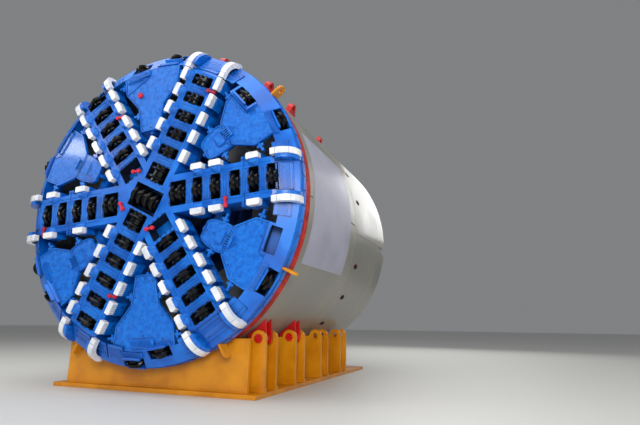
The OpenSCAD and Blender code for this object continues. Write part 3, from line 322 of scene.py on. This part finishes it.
def finishPiece(form, name, body, look, smooth=False):
    bmesh.ops.recalc_face_normals(form, faces=form.faces)
    mesh = bpy.data.meshes.new(name)
    form.to_mesh(mesh)
    form.free()
    if smooth:
        mesh.polygons.foreach_set("use_smooth", [True] * len(mesh.polygons))
    mesh.materials.append(finish[look])
    piece = bpy.data.objects.new(name, mesh)
    bpy.context.scene.collection.objects.link(piece)
    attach(piece, body)


# a CAD node's shape with its loose triangles joined
def joinedForm(name):
    form = bmesh.new()
    form.from_mesh(nodes[name].data)
    bmesh.ops.remove_doubles(form, verts=form.verts, dist=0.05 * mm)
    return form


# the separate solids of a CAD node, each as the places of its vertices
def islands(name):
    form = joinedForm(name)
    found, seen = [], set()
    for first in form.verts:
        if first in seen:
            continue
        group, stack = [], [first]
        seen.add(first)
        while stack:
            vert = stack.pop()
            group.append(vert.co.copy())
            for edge in vert.link_edges:
                other = edge.other_vert(vert)
                if other not in seen:
                    seen.add(other)
                    stack.append(other)
        found.append(group)
    form.free()
    return found


# Cutter pockets: dark housing walls that paint the shade deep in them, notched edges, and the raised
# plates between them with navy lines of painted shadow

cutterRoom = {"sideGap": 0.015, "wall": 0.004, "inset": 0.003, "lengthTrim": 0.006,
              "widthTrim": 0.014, "depth": 0.34, "sunk": 0.012, "centreWidth": 0.93,
              "emptyPockets": [(2, 0.900), (5, 0.948)], "emptyWidth": 0.45}
gaugeRoom = {"back": 0.12, "out": 0.05, "width": 0.26, "depth": 0.25}
# gauge cutter seats: angle, radius, tilt towards the rim
gaugeSeats = [(100.3, 3.74, 38), (84.3, 3.83, 50), (41.7, 3.5, 22), (26.2, 3.83, 50),
              (-32.2, 3.83, 50), (-79.1, 3.66, 32), (-91.3, 3.83, 50), (-140.8, 3.64, 32),
              (-156, 3.83, 50), (160.6, 3.83, 50), (-18.7, 3.64, 20)]
notch = {"size": (0.020, 0.040, 0.006), "count": 4, "span": 0.44, "out": 0.011}
# the navy strip round each web plate is a painted shadow line along its edges
web = {"shortest": 0.12, "rim": 0.044, "length": 0.56, "raise": 0.012, "sunk": 0.001,
       "joint": 0.009, "jointThick": 0.004, "boltAt": 0.42, "bolt": 0.012}
# bars, and grooves drawn as navy strips of painted shadow, along a web plate: place in widths of the
# plate, then metres
webBar = {"place": 0.3, "width": 0.026, "trim": 0.05, "thick": 0.014}
webGroove = {"place": 0.17, "width": 0.010, "trim": 0.06, "thick": 0.002}


# height of the cutterhead's front, which slopes back towards the rim
def frontHeight(radius):
    drop = (faceH - head["rimHeight"]) / (head["rimRadius"] - head["bevelRadius"])
    return faceH - max(0.0, radius - head["bevelRadius"]) * drop


# middle and width of each pocket on a spoke, from the cutters that stand in it
def spokePockets(spoke):
    back = (headAxis @ turned(spokeAngles[spoke])).inverted()
    pockets = [(radius, cutterRoom["emptyWidth"]) for row, radius in cutterRoom["emptyPockets"]
               if row == spoke]
    for group in islands(f"cutters_spoke_{spoke + 1}"):
        reach = [(back @ place).x for place in group]
        pockets.append(((min(reach) + max(reach)) / 2,
                        max(reach) - min(reach) + 2 * cutterRoom["sideGap"]))
    return sorted(pockets)


def addHousing(form, at, width, length, depth):
    wall = cutterRoom["wall"]
    for side in (-1, 1):
        offset = width / 2 - cutterRoom["inset"] - wall / 2
        addBlock(form, at @ moved(side * offset, 0, -depth / 2),
                 (wall, length - cutterRoom["lengthTrim"], depth))
        offset = length / 2 - cutterRoom["inset"] - wall / 2
        addBlock(form, at @ moved(0, side * offset, -depth / 2),
                 (width - cutterRoom["widthTrim"], wall, depth))


housings, notches, webs, joints, webBolts = [bmesh.new() for n in range(5)]
for spoke, angle in enumerate(spokeAngles):
    pockets = spokePockets(spoke)
    for middle, width in pockets:
        addHousing(housings, onHead(angle, middle, 0, faceH - cutterRoom["sunk"]), width,
                   head["pocketLength"], cutterRoom["depth"])
        for side in (-1, 1):
            for k in range(notch["count"]):
                across = (k / (notch["count"] - 1) - 0.5) * notch["span"]
                edge = middle + side * (width / 2 + notch["size"][0] / 2)
                addBlock(notches, onHead(angle, edge, across, faceH + notch["out"]), notch["size"])
    for (inner, innerWidth), (outer, outerWidth) in zip(pockets, pockets[1:]):
        start, end = inner + innerWidth / 2, outer - outerWidth / 2
        if end - start < web["shortest"]:
            continue
        wide, high = end - start - web["rim"], web["raise"]
        at = onHead(angle, (start + end) / 2, 0, faceH)
        addBlock(webs, at @ moved(0, 0, high / 2 - web["sunk"]), (wide, web["length"], high),
                 plateBevel)
        # painted shadow: a navy strip round the plate
        addBlock(joints, at, (wide + 2 * web["joint"], web["length"] + 2 * web["joint"],
                              web["jointThick"]))
        for side in (-1, 1):
            addBlock(webs, at @ moved(side * wide * webBar["place"], 0, high),
                     (webBar["width"], web["length"] - webBar["trim"], webBar["thick"]), plateBevel)
            addBlock(joints, at @ moved(side * wide * webGroove["place"], 0, high),
                     (webGroove["width"], web["length"] - webGroove["trim"], webGroove["thick"]))
            addBolt(webBolts, at @ moved(0, side * web["length"] * web["boltAt"], high), web["bolt"])
for angle, radius, tilt in gaugeSeats:
    seat = onHead(angle, radius, 0, frontHeight(radius) - gaugeRoom["back"]) @ turned(tilt, "Y")
    addHousing(housings, seat @ moved(0, 0, gaugeRoom["out"]), gaugeRoom["width"],
               head["pocketLength"], gaugeRoom["depth"])
# the pocket of the twin centre cutters lies across the first spoke
centre = onHead(head["spokeAngle"] - 90, 0, 0, faceH - cutterRoom["sunk"])
addHousing(housings, centre, cutterRoom["centreWidth"], head["pocketLength"], cutterRoom["depth"])
# painted shade: near-black walls deep in every pocket
finishPiece(housings, "cutterHousings", headBody, "darkPrimerAndShade")
finishPiece(notches, "pocketNotches", headBody, "darkPrimerAndShade")
finishPiece(webs, "webPlates", headBody, "azureEnamel")
finishPiece(joints, "webShadowLines", headBody, "shadedAzureEnamel")
finishPiece(webBolts, "webBolts", headBody, "azureEnamel")
print("cutter pockets dressed")

# Bay plates: a raised border along every edge of their fronts, a navy line of painted shadow inside
# it, and bolts inside it in the darker azure

border = {"width": 0.036, "raise": 0.014, "cornerTrim": 0.3, "joint": 0.012, "jointThick": 0.004,
          "boltInset": 0.095, "boltStep": 0.42, "bolt": 0.02, "boltThick": 0.006, "boltSides": 10,
          "boltedArea": 0.2, "boltedLength": 0.3, "shortest": 0.09, "smallest": 0.02}
# how far a face may lean or lie from the plates' fronts and still belong to them
frontSlack = {"facing": 0.99, "level": 0.002, "angle": 1}


def panelFronts():
    form = joinedForm("head_panels")
    level = -head["panelHeight"]
    away = [f for f in form.faces if f.normal.y > -frontSlack["facing"]
            or abs(f.calc_center_median().y - level) > frontSlack["level"]]
    bmesh.ops.delete(form, geom=away, context="FACES")
    bmesh.ops.dissolve_limit(form, angle_limit=math.radians(frontSlack["angle"]), verts=form.verts,
                             edges=form.edges)
    return form


fronts = panelFronts()
borders, plateShadowLines, plateBolts = [bmesh.new() for n in range(3)]
outwards = Vector((0, -1, 0))
for face in fronts.faces:
    area = face.calc_area()
    if area < border["smallest"]:
        continue
    outline = [loop.vert.co.copy() for loop in face.loops]
    for start, end in zip(outline, outline[1:] + outline[:1]):
        length = (end - start).length
        if length < border["shortest"]:
            continue
        along = (end - start).normalized()
        # the face's corners run anticlockwise as seen from the front
        inward = outwards.cross(along)
        turn = Matrix((along, inward, outwards)).transposed().to_4x4()
        middle = Matrix.Translation((start + end) / 2) @ turn
        addBlock(borders, middle @ moved(0, border["width"] / 2, border["raise"] / 2),
                 (length - border["cornerTrim"] * border["width"], border["width"],
                  border["raise"]), plateBevel)
        # painted shadow: a navy strip inside the border, as under a weld fillet
        addBlock(plateShadowLines, middle @ moved(0, border["width"] + border["joint"] / 2, 0),
                 (length - 2 * border["width"], border["joint"], border["jointThick"]))
        if area < border["boltedArea"] or length < border["boltedLength"]:
            continue
        count = max(1, int(length / border["boltStep"]))
        for k in range(count):
            across = length * ((k + 0.5) / count - 0.5)
            addRound(plateBolts, middle @ moved(across, border["boltInset"], 0), border["bolt"],
                     border["boltThick"], border["boltSides"])
fronts.free()
finishPiece(borders, "plateBorders", headBody, "azureEnamel")
finishPiece(plateShadowLines, "plateShadowLines", headBody, "shadedAzureEnamel")
finishPiece(plateBolts, "plateBolts", headBody, "shadedAzureEnamel")
print("bay plates dressed")

# Hard facing: slanted weld beads on the strips of the bay plates and of the rim

beads = {"width": 0.016, "height": 0.014, "pitch": 0.042, "slant": 32, "reach": 0.9}
# angle, half length round the rim, inner and outer radius
plateStrips = [(101, 0.36, 3.44, 3.60), (148, 0.33, 3.44, 3.60), (-150, 0.30, 3.44, 3.60),
               (-86, 0.33, 3.38, 3.56)]
rimStrips = [(86.5, 0.33, 3.66, 3.77), (26.2, 0.34, 3.66, 3.77), (-32.2, 0.34, 3.66, 3.77),
             (-91.3, 0.33, 3.66, 3.77), (-156, 0.34, 3.66, 3.77), (160.6, 0.34, 3.66, 3.77)]
rimSlope = math.degrees(math.atan2(faceH - head["rimHeight"],
                                   head["rimRadius"] - head["bevelRadius"]))

facing = bmesh.new()
for strips, flat in ((plateStrips, True), (rimStrips, False)):
    for angle, half, inner, outer in strips:
        middle = (inner + outer) / 2
        height = (head["panelHeight"] if flat else frontHeight(middle)) + head["stripHeight"]
        at = onHead(angle, middle, 0, height) @ turned(0 if flat else rimSlope, "Y")
        for k in range(int(2 * half / beads["pitch"]) - 1):
            across = -half + (k + 1) * beads["pitch"]
            addBlock(facing, at @ moved(0, across, beads["height"] / 3) @ turned(beads["slant"]),
                     ((outer - inner) * beads["reach"], beads["width"], beads["height"]))
finishPiece(facing, "hardFacedStrips", headBody, "azureEnamel")

# Rim: framed wear plates at the spokes' ends and between the gauge cutters, hatched with beads, with
# navy lines of painted shadow round them and along their grooves

wear = {"middle": 3.72, "length": 0.40, "raise": 0.014, "bar": 0.030, "endWidth": 0.62, "step": 8.0,
        "width": 0.46, "clear": 6.4, "spokeClear": 9.6, "hatch": 0.09, "hatchAt": 0.13,
        "joint": 0.012, "jointThick": 0.006, "groove": 0.012, "grooveAt": 0.28, "grooveOut": 0.001,
        "grooveThick": 0.003}
wearPlates, wearShadowLines = bmesh.new(), bmesh.new()


def addWearPlate(angle, width):
    length, high, bar = wear["length"], wear["raise"], wear["bar"]
    at = onHead(angle, wear["middle"], 0, frontHeight(wear["middle"])) @ turned(rimSlope, "Y")
    # painted shadow: a navy strip round the plate here, and navy strips along its grooves further down
    addBlock(wearShadowLines, at, (length + 2 * wear["joint"], width + 2 * wear["joint"],
                              wear["jointThick"]))
    addBlock(wearPlates, at @ moved(0, 0, high / 2), (length, width, high), plateBevel)
    for side in (-1, 1):
        addBlock(wearPlates, at @ moved(0, side * (width - bar) / 2, high), (length, bar, high),
                 plateBevel)
        addBlock(wearPlates, at @ moved(side * (length - bar) / 2, 0, high), (bar, width, high),
                 plateBevel)
        addBlock(wearShadowLines, at @ moved(side * wear["grooveAt"] * length, 0, high + wear["grooveOut"]),
                 (wear["groove"], width - 2 * bar, wear["grooveThick"]))
        for k in range(int((width - 2 * bar) / beads["pitch"])):
            across = (k + 0.5) * beads["pitch"] - width / 2 + bar
            addBlock(wearPlates, at @ moved(side * wear["hatchAt"] * length, across, high)
                     @ turned(side * beads["slant"]), (wear["hatch"], beads["width"], beads["height"]))


for angle in spokeAngles:
    addWearPlate(angle, wear["endWidth"])
    for step in range(int(60 / wear["step"])):
        place = angle + wear["spokeClear"] + wear["step"] * step
        # a tenth of a degree less, so that the first place is clear of its own spoke
        offSpokes = min(apart(place, other) for other in spokeAngles) > wear["spokeClear"] - 0.1
        offSeats = min(apart(place, seat[0]) for seat in gaugeSeats) > wear["clear"]
        if offSpokes and offSeats:
            addWearPlate(place, wear["width"])
finishPiece(wearPlates, "rimWearPlates", headBody, "azureEnamel")
finishPiece(wearShadowLines, "rimWearShadowLines", headBody, "shadedAzureEnamel")

# Cutting ring: rows of crossed beads, and the red band behind it

ringHatch = {"count": 300, "slant": 40, "size": (0.088, 0.007, 0.006), "rows": (0.056, 0.15, 0.244),
             "out": 0.002, "bandSunk": 0.001, "bandEnd": 0.30}
hatch = bmesh.new()
for y in ringHatch["rows"]:
    for k in range(ringHatch["count"]):
        at = onShell(360 * k / ringHatch["count"], y, shieldR + ringHatch["out"])
        for slant in (ringHatch["slant"], -ringHatch["slant"]):
            addBlock(hatch, at @ turned(slant), ringHatch["size"])
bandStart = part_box("cutting_ring")[1].y
addRing(hatch, moved(0, bandStart, axisZ) @ turned(-90, "X"), shieldR - ringHatch["bandSunk"],
        shieldR + ringHatch["out"], ringHatch["bandEnd"] - bandStart, wideSides)
finishPiece(hatch, "ringHatch", rootBody, "redPrimer")
print("hard facing laid")

# Bolted joints across two spokes: a row of knobs on each flange, the outer ones a little lower

flanges = {"places": [(1, 2.766), (4, 2.432)], "side": 0.045, "radius": 0.02,
           "knobs": (-0.54, -0.30, 0.0, 0.30, 0.54), "lowBeyond": 0.48, "low": 0.01}
knobs = bmesh.new()
for spoke, radius in flanges["places"]:
    for side in (-1, 1):
        for across in flanges["knobs"]:
            height = faceH - (flanges["low"] if abs(across) > flanges["lowBeyond"] else 0.0)
            addBolt(knobs, onHead(spokeAngles[spoke], radius + side * flanges["side"], across,
                                  height), flanges["radius"])
finishPiece(knobs, "jointKnobs", headBody, "azureEnamel")

# Shield: weld seams, and the joint line on its sides

shell = {"seams": (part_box("front_shield")[1].y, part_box("middle_shield")[1].y), "bead": 0.007,
         "beadDepth": (0.012, 0.002), "lineAngles": (-3, 183), "lineTrim": 0.03, "lineWidth": 0.009,
         "lineThick": 0.003}
seams = bmesh.new()
for y in shell["seams"]:
    at = moved(0, y - shell["bead"], axisZ) @ turned(-90, "X")
    addRing(seams, at, shieldR - shell["beadDepth"][0], shieldR - shell["beadDepth"][1],
            2 * shell["bead"], wideSides)
finishPiece(seams, "weldSeams", rootBody, "whiteEnamel", smooth=True)
lines = bmesh.new()
start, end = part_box("middle_shield")[0].y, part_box("middle_shield")[1].y
for angle in shell["lineAngles"]:
    addBlock(lines, onShell(angle, (start + end) / 2, shieldR),
             (end - start - shell["lineTrim"], shell["lineWidth"], shell["lineThick"]))
finishPiece(lines, "jointLines", rootBody, "darkPrimerAndShade")

# Vinyl sheet, bare, on one side of the shield

vinyl = {"angles": (-23, 27), "start": 0.55, "end": 3.55, "skew": 0.10, "thick": 0.002,
         "cells": (8, 48)}
sheet = bmesh.new()
bmesh.ops.create_grid(sheet, x_segments=vinyl["cells"][0], y_segments=vinyl["cells"][1], size=0.5)
low, high = vinyl["angles"]
radius = shieldR + vinyl["thick"]
for vert in sheet.verts:
    along, upward = vert.co.x + 0.5, vert.co.y + 0.5
    angle = math.radians(low + (high - low) * upward)
    y = vinyl["start"] + (vinyl["end"] - vinyl["start"]) * along + vinyl["skew"] * upward
    vert.co = (radius * math.cos(angle), y, axisZ + radius * math.sin(angle))
finishPiece(sheet, "vinylSheet", rootBody, "lavenderVinyl", smooth=True)

# Probe pipes: a dark plug in the slanted end of each

plug = {"slant": 30, "sunk": 0.02, "radius": 0.072, "length": 0.05, "sides": 24}
plugs = bmesh.new()
slant = math.radians(plug["slant"])
for group in islands("probe_pipes"):
    middle = sum(group, Vector()) / len(group)
    spread = math.atan2(middle.z - axisZ, middle.x)
    slope = Vector((math.cos(spread) * math.cos(slant), -math.sin(slant),
                    math.sin(spread) * math.cos(slant)))
    turn = slope.to_track_quat("Z", "Y").to_matrix().to_4x4()
    addRound(plugs, Matrix.Translation(middle) @ turn @ moved(0, 0, -plug["sunk"]), plug["radius"],
             plug["length"], plug["sides"])
finishPiece(plugs, "portPlugs", rootBody, "darkPrimerAndShade")
print("shield dressed")

# Cradle: bosses round the ears' holes, and retaining plates on the pins

ears = {"x": 2.7192, "z": 1.2896, "hole": 0.08, "plates": (0.40, 2.15, 4.06, 5.90), "thick": 0.09,
        "gap": 0.5, "fit": 0.002, "boss": 0.118, "bossThick": 0.014, "bossSides": 28,
        # saddle, plate and way out of the faces without a boss, where a pin's end stands
        "bare": [(0, 0, -1), (0, 1, 1), (1, 0, -1)]}
pinCap = {"saddles": 2, "out": 0.021, "plate": (0.15, 0.05, 0.014), "plateUp": 0.008,
          "bevel": 0.003, "bolts": (-0.05, 0.05), "boltUp": 0.015, "bolt": 0.010}
bosses, pinCaps = bmesh.new(), bmesh.new()
for saddle, start in enumerate(ears["plates"]):
    for side in (-1, 1):
        for plate in (0, 1):
            y = start + plate * (ears["thick"] + ears["gap"])
            for face, out in ((y, -1), (y + ears["thick"], 1)):
                if (saddle, plate, out) not in ears["bare"]:
                    at = moved(side * ears["x"], face, ears["z"]) @ turned(out * -90, "X")
                    addRing(bosses, at, ears["hole"] + ears["fit"], ears["boss"], ears["bossThick"],
                            ears["bossSides"])
        if saddle < pinCap["saddles"]:
            front = moved(side * ears["x"], start - pinCap["out"], ears["z"]) @ turned(90, "X")
            addBlock(pinCaps, front @ moved(0, 0, pinCap["plateUp"]), pinCap["plate"],
                     pinCap["bevel"])
            for across in pinCap["bolts"]:
                addBolt(pinCaps, front @ moved(across, 0, pinCap["boltUp"]), pinCap["bolt"])
finishPiece(bosses, "earBosses", rootBody, "orangeEnamel")
finishPiece(pinCaps, "pinCaps", rootBody, "redEnamel")
print("cradle dressed")

# Edge scrapers: the fine joints between their parts

edgeScraper = {"radius": 3.61, "height": 0.36, "across": 0.555, "round": 0.44, "angles": (-48, -90),
               "joint": (0.003, 0.152, 0.005)}
splits = bmesh.new()
for spokeAngle in spokeAngles:
    for side in (-1, 1):
        at = onHead(spokeAngle, edgeScraper["radius"], side * edgeScraper["across"],
                    edgeScraper["height"])
        for angle in edgeScraper["angles"]:
            addBlock(splits, at @ turned(angle, "Y") @ moved(edgeScraper["round"], 0, 0),
                     edgeScraper["joint"])
finishPiece(splits, "edgeScraperJoints", headBody, "darkPrimerAndShade")

# Drive: bolts in its flange and round its motors' covers, fins and terminal boxes on the motors

drive = {"flangeY": 1.56, "boltCircle": 1.868, "bolts": 60, "bolt": 0.018,
         "coverY": 1.98, "coverBolts": 12, "coverCircle": 0.215, "coverBolt": 0.010}
motor = {"count": 8, "circle": 1.425, "radius": 0.170, "finY": (2.43, 2.68), "fins": 9,
         "finIn": 0.004, "finOut": 0.016, "finThick": 0.008, "boxY": 2.55, "box": (0.09, 0.16, 0.16),
         "boxBevel": 0.008}
driveBolts, fins = bmesh.new(), bmesh.new()
for k in range(drive["bolts"]):
    addBolt(driveBolts, onAxis(360 * k / drive["bolts"], drive["boltCircle"], drive["flangeY"]),
            drive["bolt"])
for k in range(motor["count"]):
    angle = -(k + 0.5) * 360 / motor["count"]
    for n in range(motor["fins"]):
        y = motor["finY"][0] + (motor["finY"][1] - motor["finY"][0]) * n / (motor["fins"] - 1)
        addRing(fins, onAxis(angle, motor["circle"], y), motor["radius"] - motor["finIn"],
                motor["radius"] + motor["finOut"], motor["finThick"])
    box = onAxis(angle, motor["circle"] - motor["radius"] - motor["box"][0] / 2, motor["boxY"])
    addBlock(fins, box, motor["box"], motor["boxBevel"])
    cover = onAxis(angle, motor["circle"], drive["coverY"])
    for n in range(drive["coverBolts"]):
        addBolt(driveBolts, cover @ turned(360 / drive["coverBolts"] * n)
                @ moved(drive["coverCircle"], 0, 0), drive["coverBolt"])
finishPiece(driveBolts, "driveBolts", rootBody, "zincBolt")
finishPiece(fins, "motorFins", rootBody, "motorBlue")

# Thrust cylinders: oil ports at both ends of each barrel

thrust = {"pairs": 16, "circle": 3.62, "halfPair": 3.0, "barrelR": 0.12, "ports": (4.52, 6.05)}
oilPort = {"out": 0.012, "block": (0.05, 0.07, 0.09), "bevel": 0.005, "radius": 0.018,
           "length": 0.06, "sides": 10}
ports = bmesh.new()
for k in range(2 * thrust["pairs"]):
    angle = (k // 2 + 0.5) * 360 / thrust["pairs"] + (k % 2 - 0.5) * 2 * thrust["halfPair"]
    for y in thrust["ports"]:
        at = onAxis(-angle, thrust["circle"] - thrust["barrelR"] - oilPort["out"], y)
        addBlock(ports, at, oilPort["block"], oilPort["bevel"])
        addRound(ports, at @ turned(-90, "Y"), oilPort["radius"], oilPort["length"],
                 oilPort["sides"])
finishPiece(ports, "oilPorts", rootBody, "zincBolt")

# Screw conveyor: bolts through its casing's flanges

conveyor = {"startY": 1.4, "startZ": -2.7, "slope": 25, "flanges": (1.84, 3.44, 5.04),
            "circle": 0.452, "bolts": 18, "bolt": 0.012}
casingBolts = bmesh.new()
casing = (moved(0, conveyor["startY"], axisZ + conveyor["startZ"]) @ turned(conveyor["slope"], "X")
          @ turned(-90, "X"))
for reach in conveyor["flanges"]:
    for k in range(conveyor["bolts"]):
        addBolt(casingBolts, casing @ moved(0, 0, reach) @ turned(360 * k / conveyor["bolts"])
                @ moved(conveyor["circle"], 0, 0), conveyor["bolt"])
finishPiece(casingBolts, "casingBolts", rootBody, "zincBolt")

# Decks: raised lozenges of chequer plate

deck = {"step": 0.11, "lozenge": (0.055, 0.014, 0.004), "slant": 45, "levels": (-1.0, 1.0),
        "thick": 0.06, "inner": 2.32, "outer": 3.55, "start": 1.98, "end": 3.98}
tread = bmesh.new()
for level in deck["levels"]:
    height = axisZ + level + deck["thick"] + deck["lozenge"][2] / 2
    for side in (-1, 1):
        for i in range(int((deck["outer"] - deck["inner"]) / deck["step"])):
            for j in range(int((deck["end"] - deck["start"]) / deck["step"])):
                at = moved(side * (deck["inner"] + i * deck["step"]),
                           deck["start"] + j * deck["step"], height)
                slant = deck["slant"] if (i + j) % 2 else -deck["slant"]
                addBlock(tread, at @ turned(slant), deck["lozenge"])
finishPiece(tread, "deckTread", rootBody, "conveyorYellow")

# Man lock: bolts round its end, and the door's wheel

lock = {"z": 2.85, "endY": 3.28, "circle": 0.66, "bolts": 24, "bolt": 0.014}
handWheel = {"y": 3.3203, "hub": 0.028, "hubSides": 16, "out": 0.09, "radius": 0.13, "bar": 0.010,
             "sides": 32, "spokes": 3, "spokeThick": 1.4, "bevel": 0.002}
lockBolts = bmesh.new()
lockEnd = moved(0, lock["endY"], axisZ + lock["z"]) @ turned(-90, "X")
for k in range(lock["bolts"]):
    addBolt(lockBolts, lockEnd @ turned(360 * (k + 0.5) / lock["bolts"])
            @ moved(lock["circle"], 0, 0), lock["bolt"])
finishPiece(lockBolts, "lockBolts", rootBody, "zincBolt")
wheel = bmesh.new()
bar = handWheel["bar"]
hub = moved(0, handWheel["y"], axisZ + lock["z"]) @ turned(-90, "X")
addRound(wheel, hub, handWheel["hub"], handWheel["out"], handWheel["hubSides"])
addRing(wheel, hub @ moved(0, 0, handWheel["out"] - 2 * bar), handWheel["radius"] - bar,
        handWheel["radius"] + bar, 2 * bar, handWheel["sides"])
for k in range(handWheel["spokes"]):
    addBlock(wheel, hub @ moved(0, 0, handWheel["out"] - bar) @ turned(180 / handWheel["spokes"] * k),
             (2 * handWheel["radius"], handWheel["spokeThick"] * bar, handWheel["spokeThick"] * bar),
             handWheel["bevel"])
finishPiece(wheel, "doorWheel", "manlock_door", "redEnamel")

# Erector: bolts on its fixed ring, rollers on its turning ring

erector = {"mountY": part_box("erector_mount")[0].y, "boltCircle": 2.06, "bolts": 40, "bolt": 0.016,
           "ringThick": 0.2, "rollerCircle": 1.93, "rollers": 12, "rollerR": 0.06,
           "rollerThick": 0.03, "rollerSides": 20}
mountBolts = bmesh.new()
for k in range(erector["bolts"]):
    at = onAxis(360 * k / erector["bolts"], erector["boltCircle"], erector["mountY"])
    addBolt(mountBolts, at @ turned(180, "X"), erector["bolt"])
finishPiece(mountBolts, "mountBolts", rootBody, "zincBolt")
rollers = bmesh.new()
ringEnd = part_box("erector_mount")[1].y + erector["ringThick"]
for k in range(erector["rollers"]):
    at = onAxis(360 * (k + 0.5) / erector["rollers"], erector["rollerCircle"], ringEnd)
    addRound(rollers, at, erector["rollerR"], erector["rollerThick"], erector["rollerSides"])
    addBolt(rollers, at @ moved(0, 0, erector["rollerThick"]), erector["bolt"])
finishPiece(rollers, "ringRollers", "erector_rotor", "zincBolt")

# Tail brushes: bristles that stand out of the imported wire

brush = {"rows": 3, "last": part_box("tail_brushes")[1].y, "width": 0.06, "pitch": 0.25,
         "innerR": 3.91, "sunk": 0.006, "bristles": 420, "size": (0.034, 0.010, 0.050),
         "lean": (-12, 18), "notchAt": -4.3, "notchHalf": 2.2}
bristles = bmesh.new()
for row in range(brush["rows"]):
    y = brush["last"] - brush["width"] / 2 - brush["pitch"] * row
    for k in range(brush["bristles"]):
        angle = 360 * k / brush["bristles"]
        # none in the notch for the hoses
        if apart(angle, brush["notchAt"]) < brush["notchHalf"]:
            continue
        at = onAxis(-angle, brush["innerR"] - brush["sunk"], y) @ turned(brush["lean"][k % 2], "X")
        addBlock(bristles, at, brush["size"])
finishPiece(bristles, "brushBristles", rootBody, "springWire")
print("inside dressed")

# Floor, light and camera

floorLook = {"half": 150.0, "down": 0.002, "color": "#D9D8D3", "rough": 0.6}


# a wide floor of pale plaster, matt and even
def makeFloor():
    form = bmesh.new()
    bmesh.ops.create_grid(form, x_segments=1, y_segments=1, size=floorLook["half"])
    mesh = bpy.data.meshes.new("floor")
    form.to_mesh(mesh)
    form.free()
    floor = bpy.data.objects.new("floor", mesh)
    bpy.context.scene.collection.objects.link(floor)
    floor.location = (0, 0, -floorLook["down"])
    mat = bpy.data.materials.new("palePlaster")
    mat.use_nodes = True
    shader = mat.node_tree.nodes["Principled BSDF"]
    shader.inputs["Base Color"].default_value = linear(floorLook["color"])
    shader.inputs["Roughness"].default_value = floorLook["rough"]
    mesh.materials.append(mat)


makeFloor()

# name, place, aims at, width, height, watts
softboxes = [
    ("skyBox", (-3, -4, 22), (0, 2, 4), 26, 22, 3600),
    # gleams in the pebbled plates at the left
    ("roofLight", (-12.5, -9, 10.5), (-2.6, 0, 6), 2.6, 0.8, 260),
    ("frontBox", (14, -20, 9), (0, 0, 4.6), 10, 8, 3400),
    ("sideBox", (20, -6, 9), (3, 3, 4), 10, 8, 300),
    ("rearBox", (4, 26, 12), (0, 6, 4.6), 12, 8, 1200),
]
for name, place, target, width, height, watts in softboxes:
    light = bpy.data.lights.new(name, "AREA")
    light.shape = "RECTANGLE"
    light.size, light.size_y, light.energy = width, height, watts
    lamp = bpy.data.objects.new(name, light)
    lamp.location = place
    lamp.rotation_euler = (Vector(target) - Vector(place)).to_track_quat("-Z", "Y").to_euler()
    bpy.context.scene.collection.objects.link(lamp)

skyLook = {"color": "#DCDFE2", "strength": 0.3}
world = bpy.data.worlds.new("paleStudio")
world.use_nodes = True
sky = world.node_tree.nodes["Background"]
sky.inputs["Color"].default_value = linear(skyLook["color"])
sky.inputs["Strength"].default_value = skyLook["strength"]
bpy.context.scene.world = world

# eye level beside the cutterhead, as the photograph was taken
viewpoint = {"place": (8.145, -10.022, 1.633), "turn": (102.989, -0.7232, 20.5195), "lens": 27.262,
             "sensor": 36}
camera = bpy.data.cameras.new("viewpoint")
camera.lens = viewpoint["lens"]
camera.sensor_width = viewpoint["sensor"]
eye = bpy.data.objects.new("viewpoint", camera)
eye.location = viewpoint["place"]
eye.rotation_euler = Euler([math.radians(a) for a in viewpoint["turn"]])
bpy.context.scene.collection.objects.link(eye)
bpy.context.scene.camera = eye
# plain display colours, so that the enamel keeps its full depth
bpy.context.scene.view_settings.view_transform = "Standard"
print("stage set")
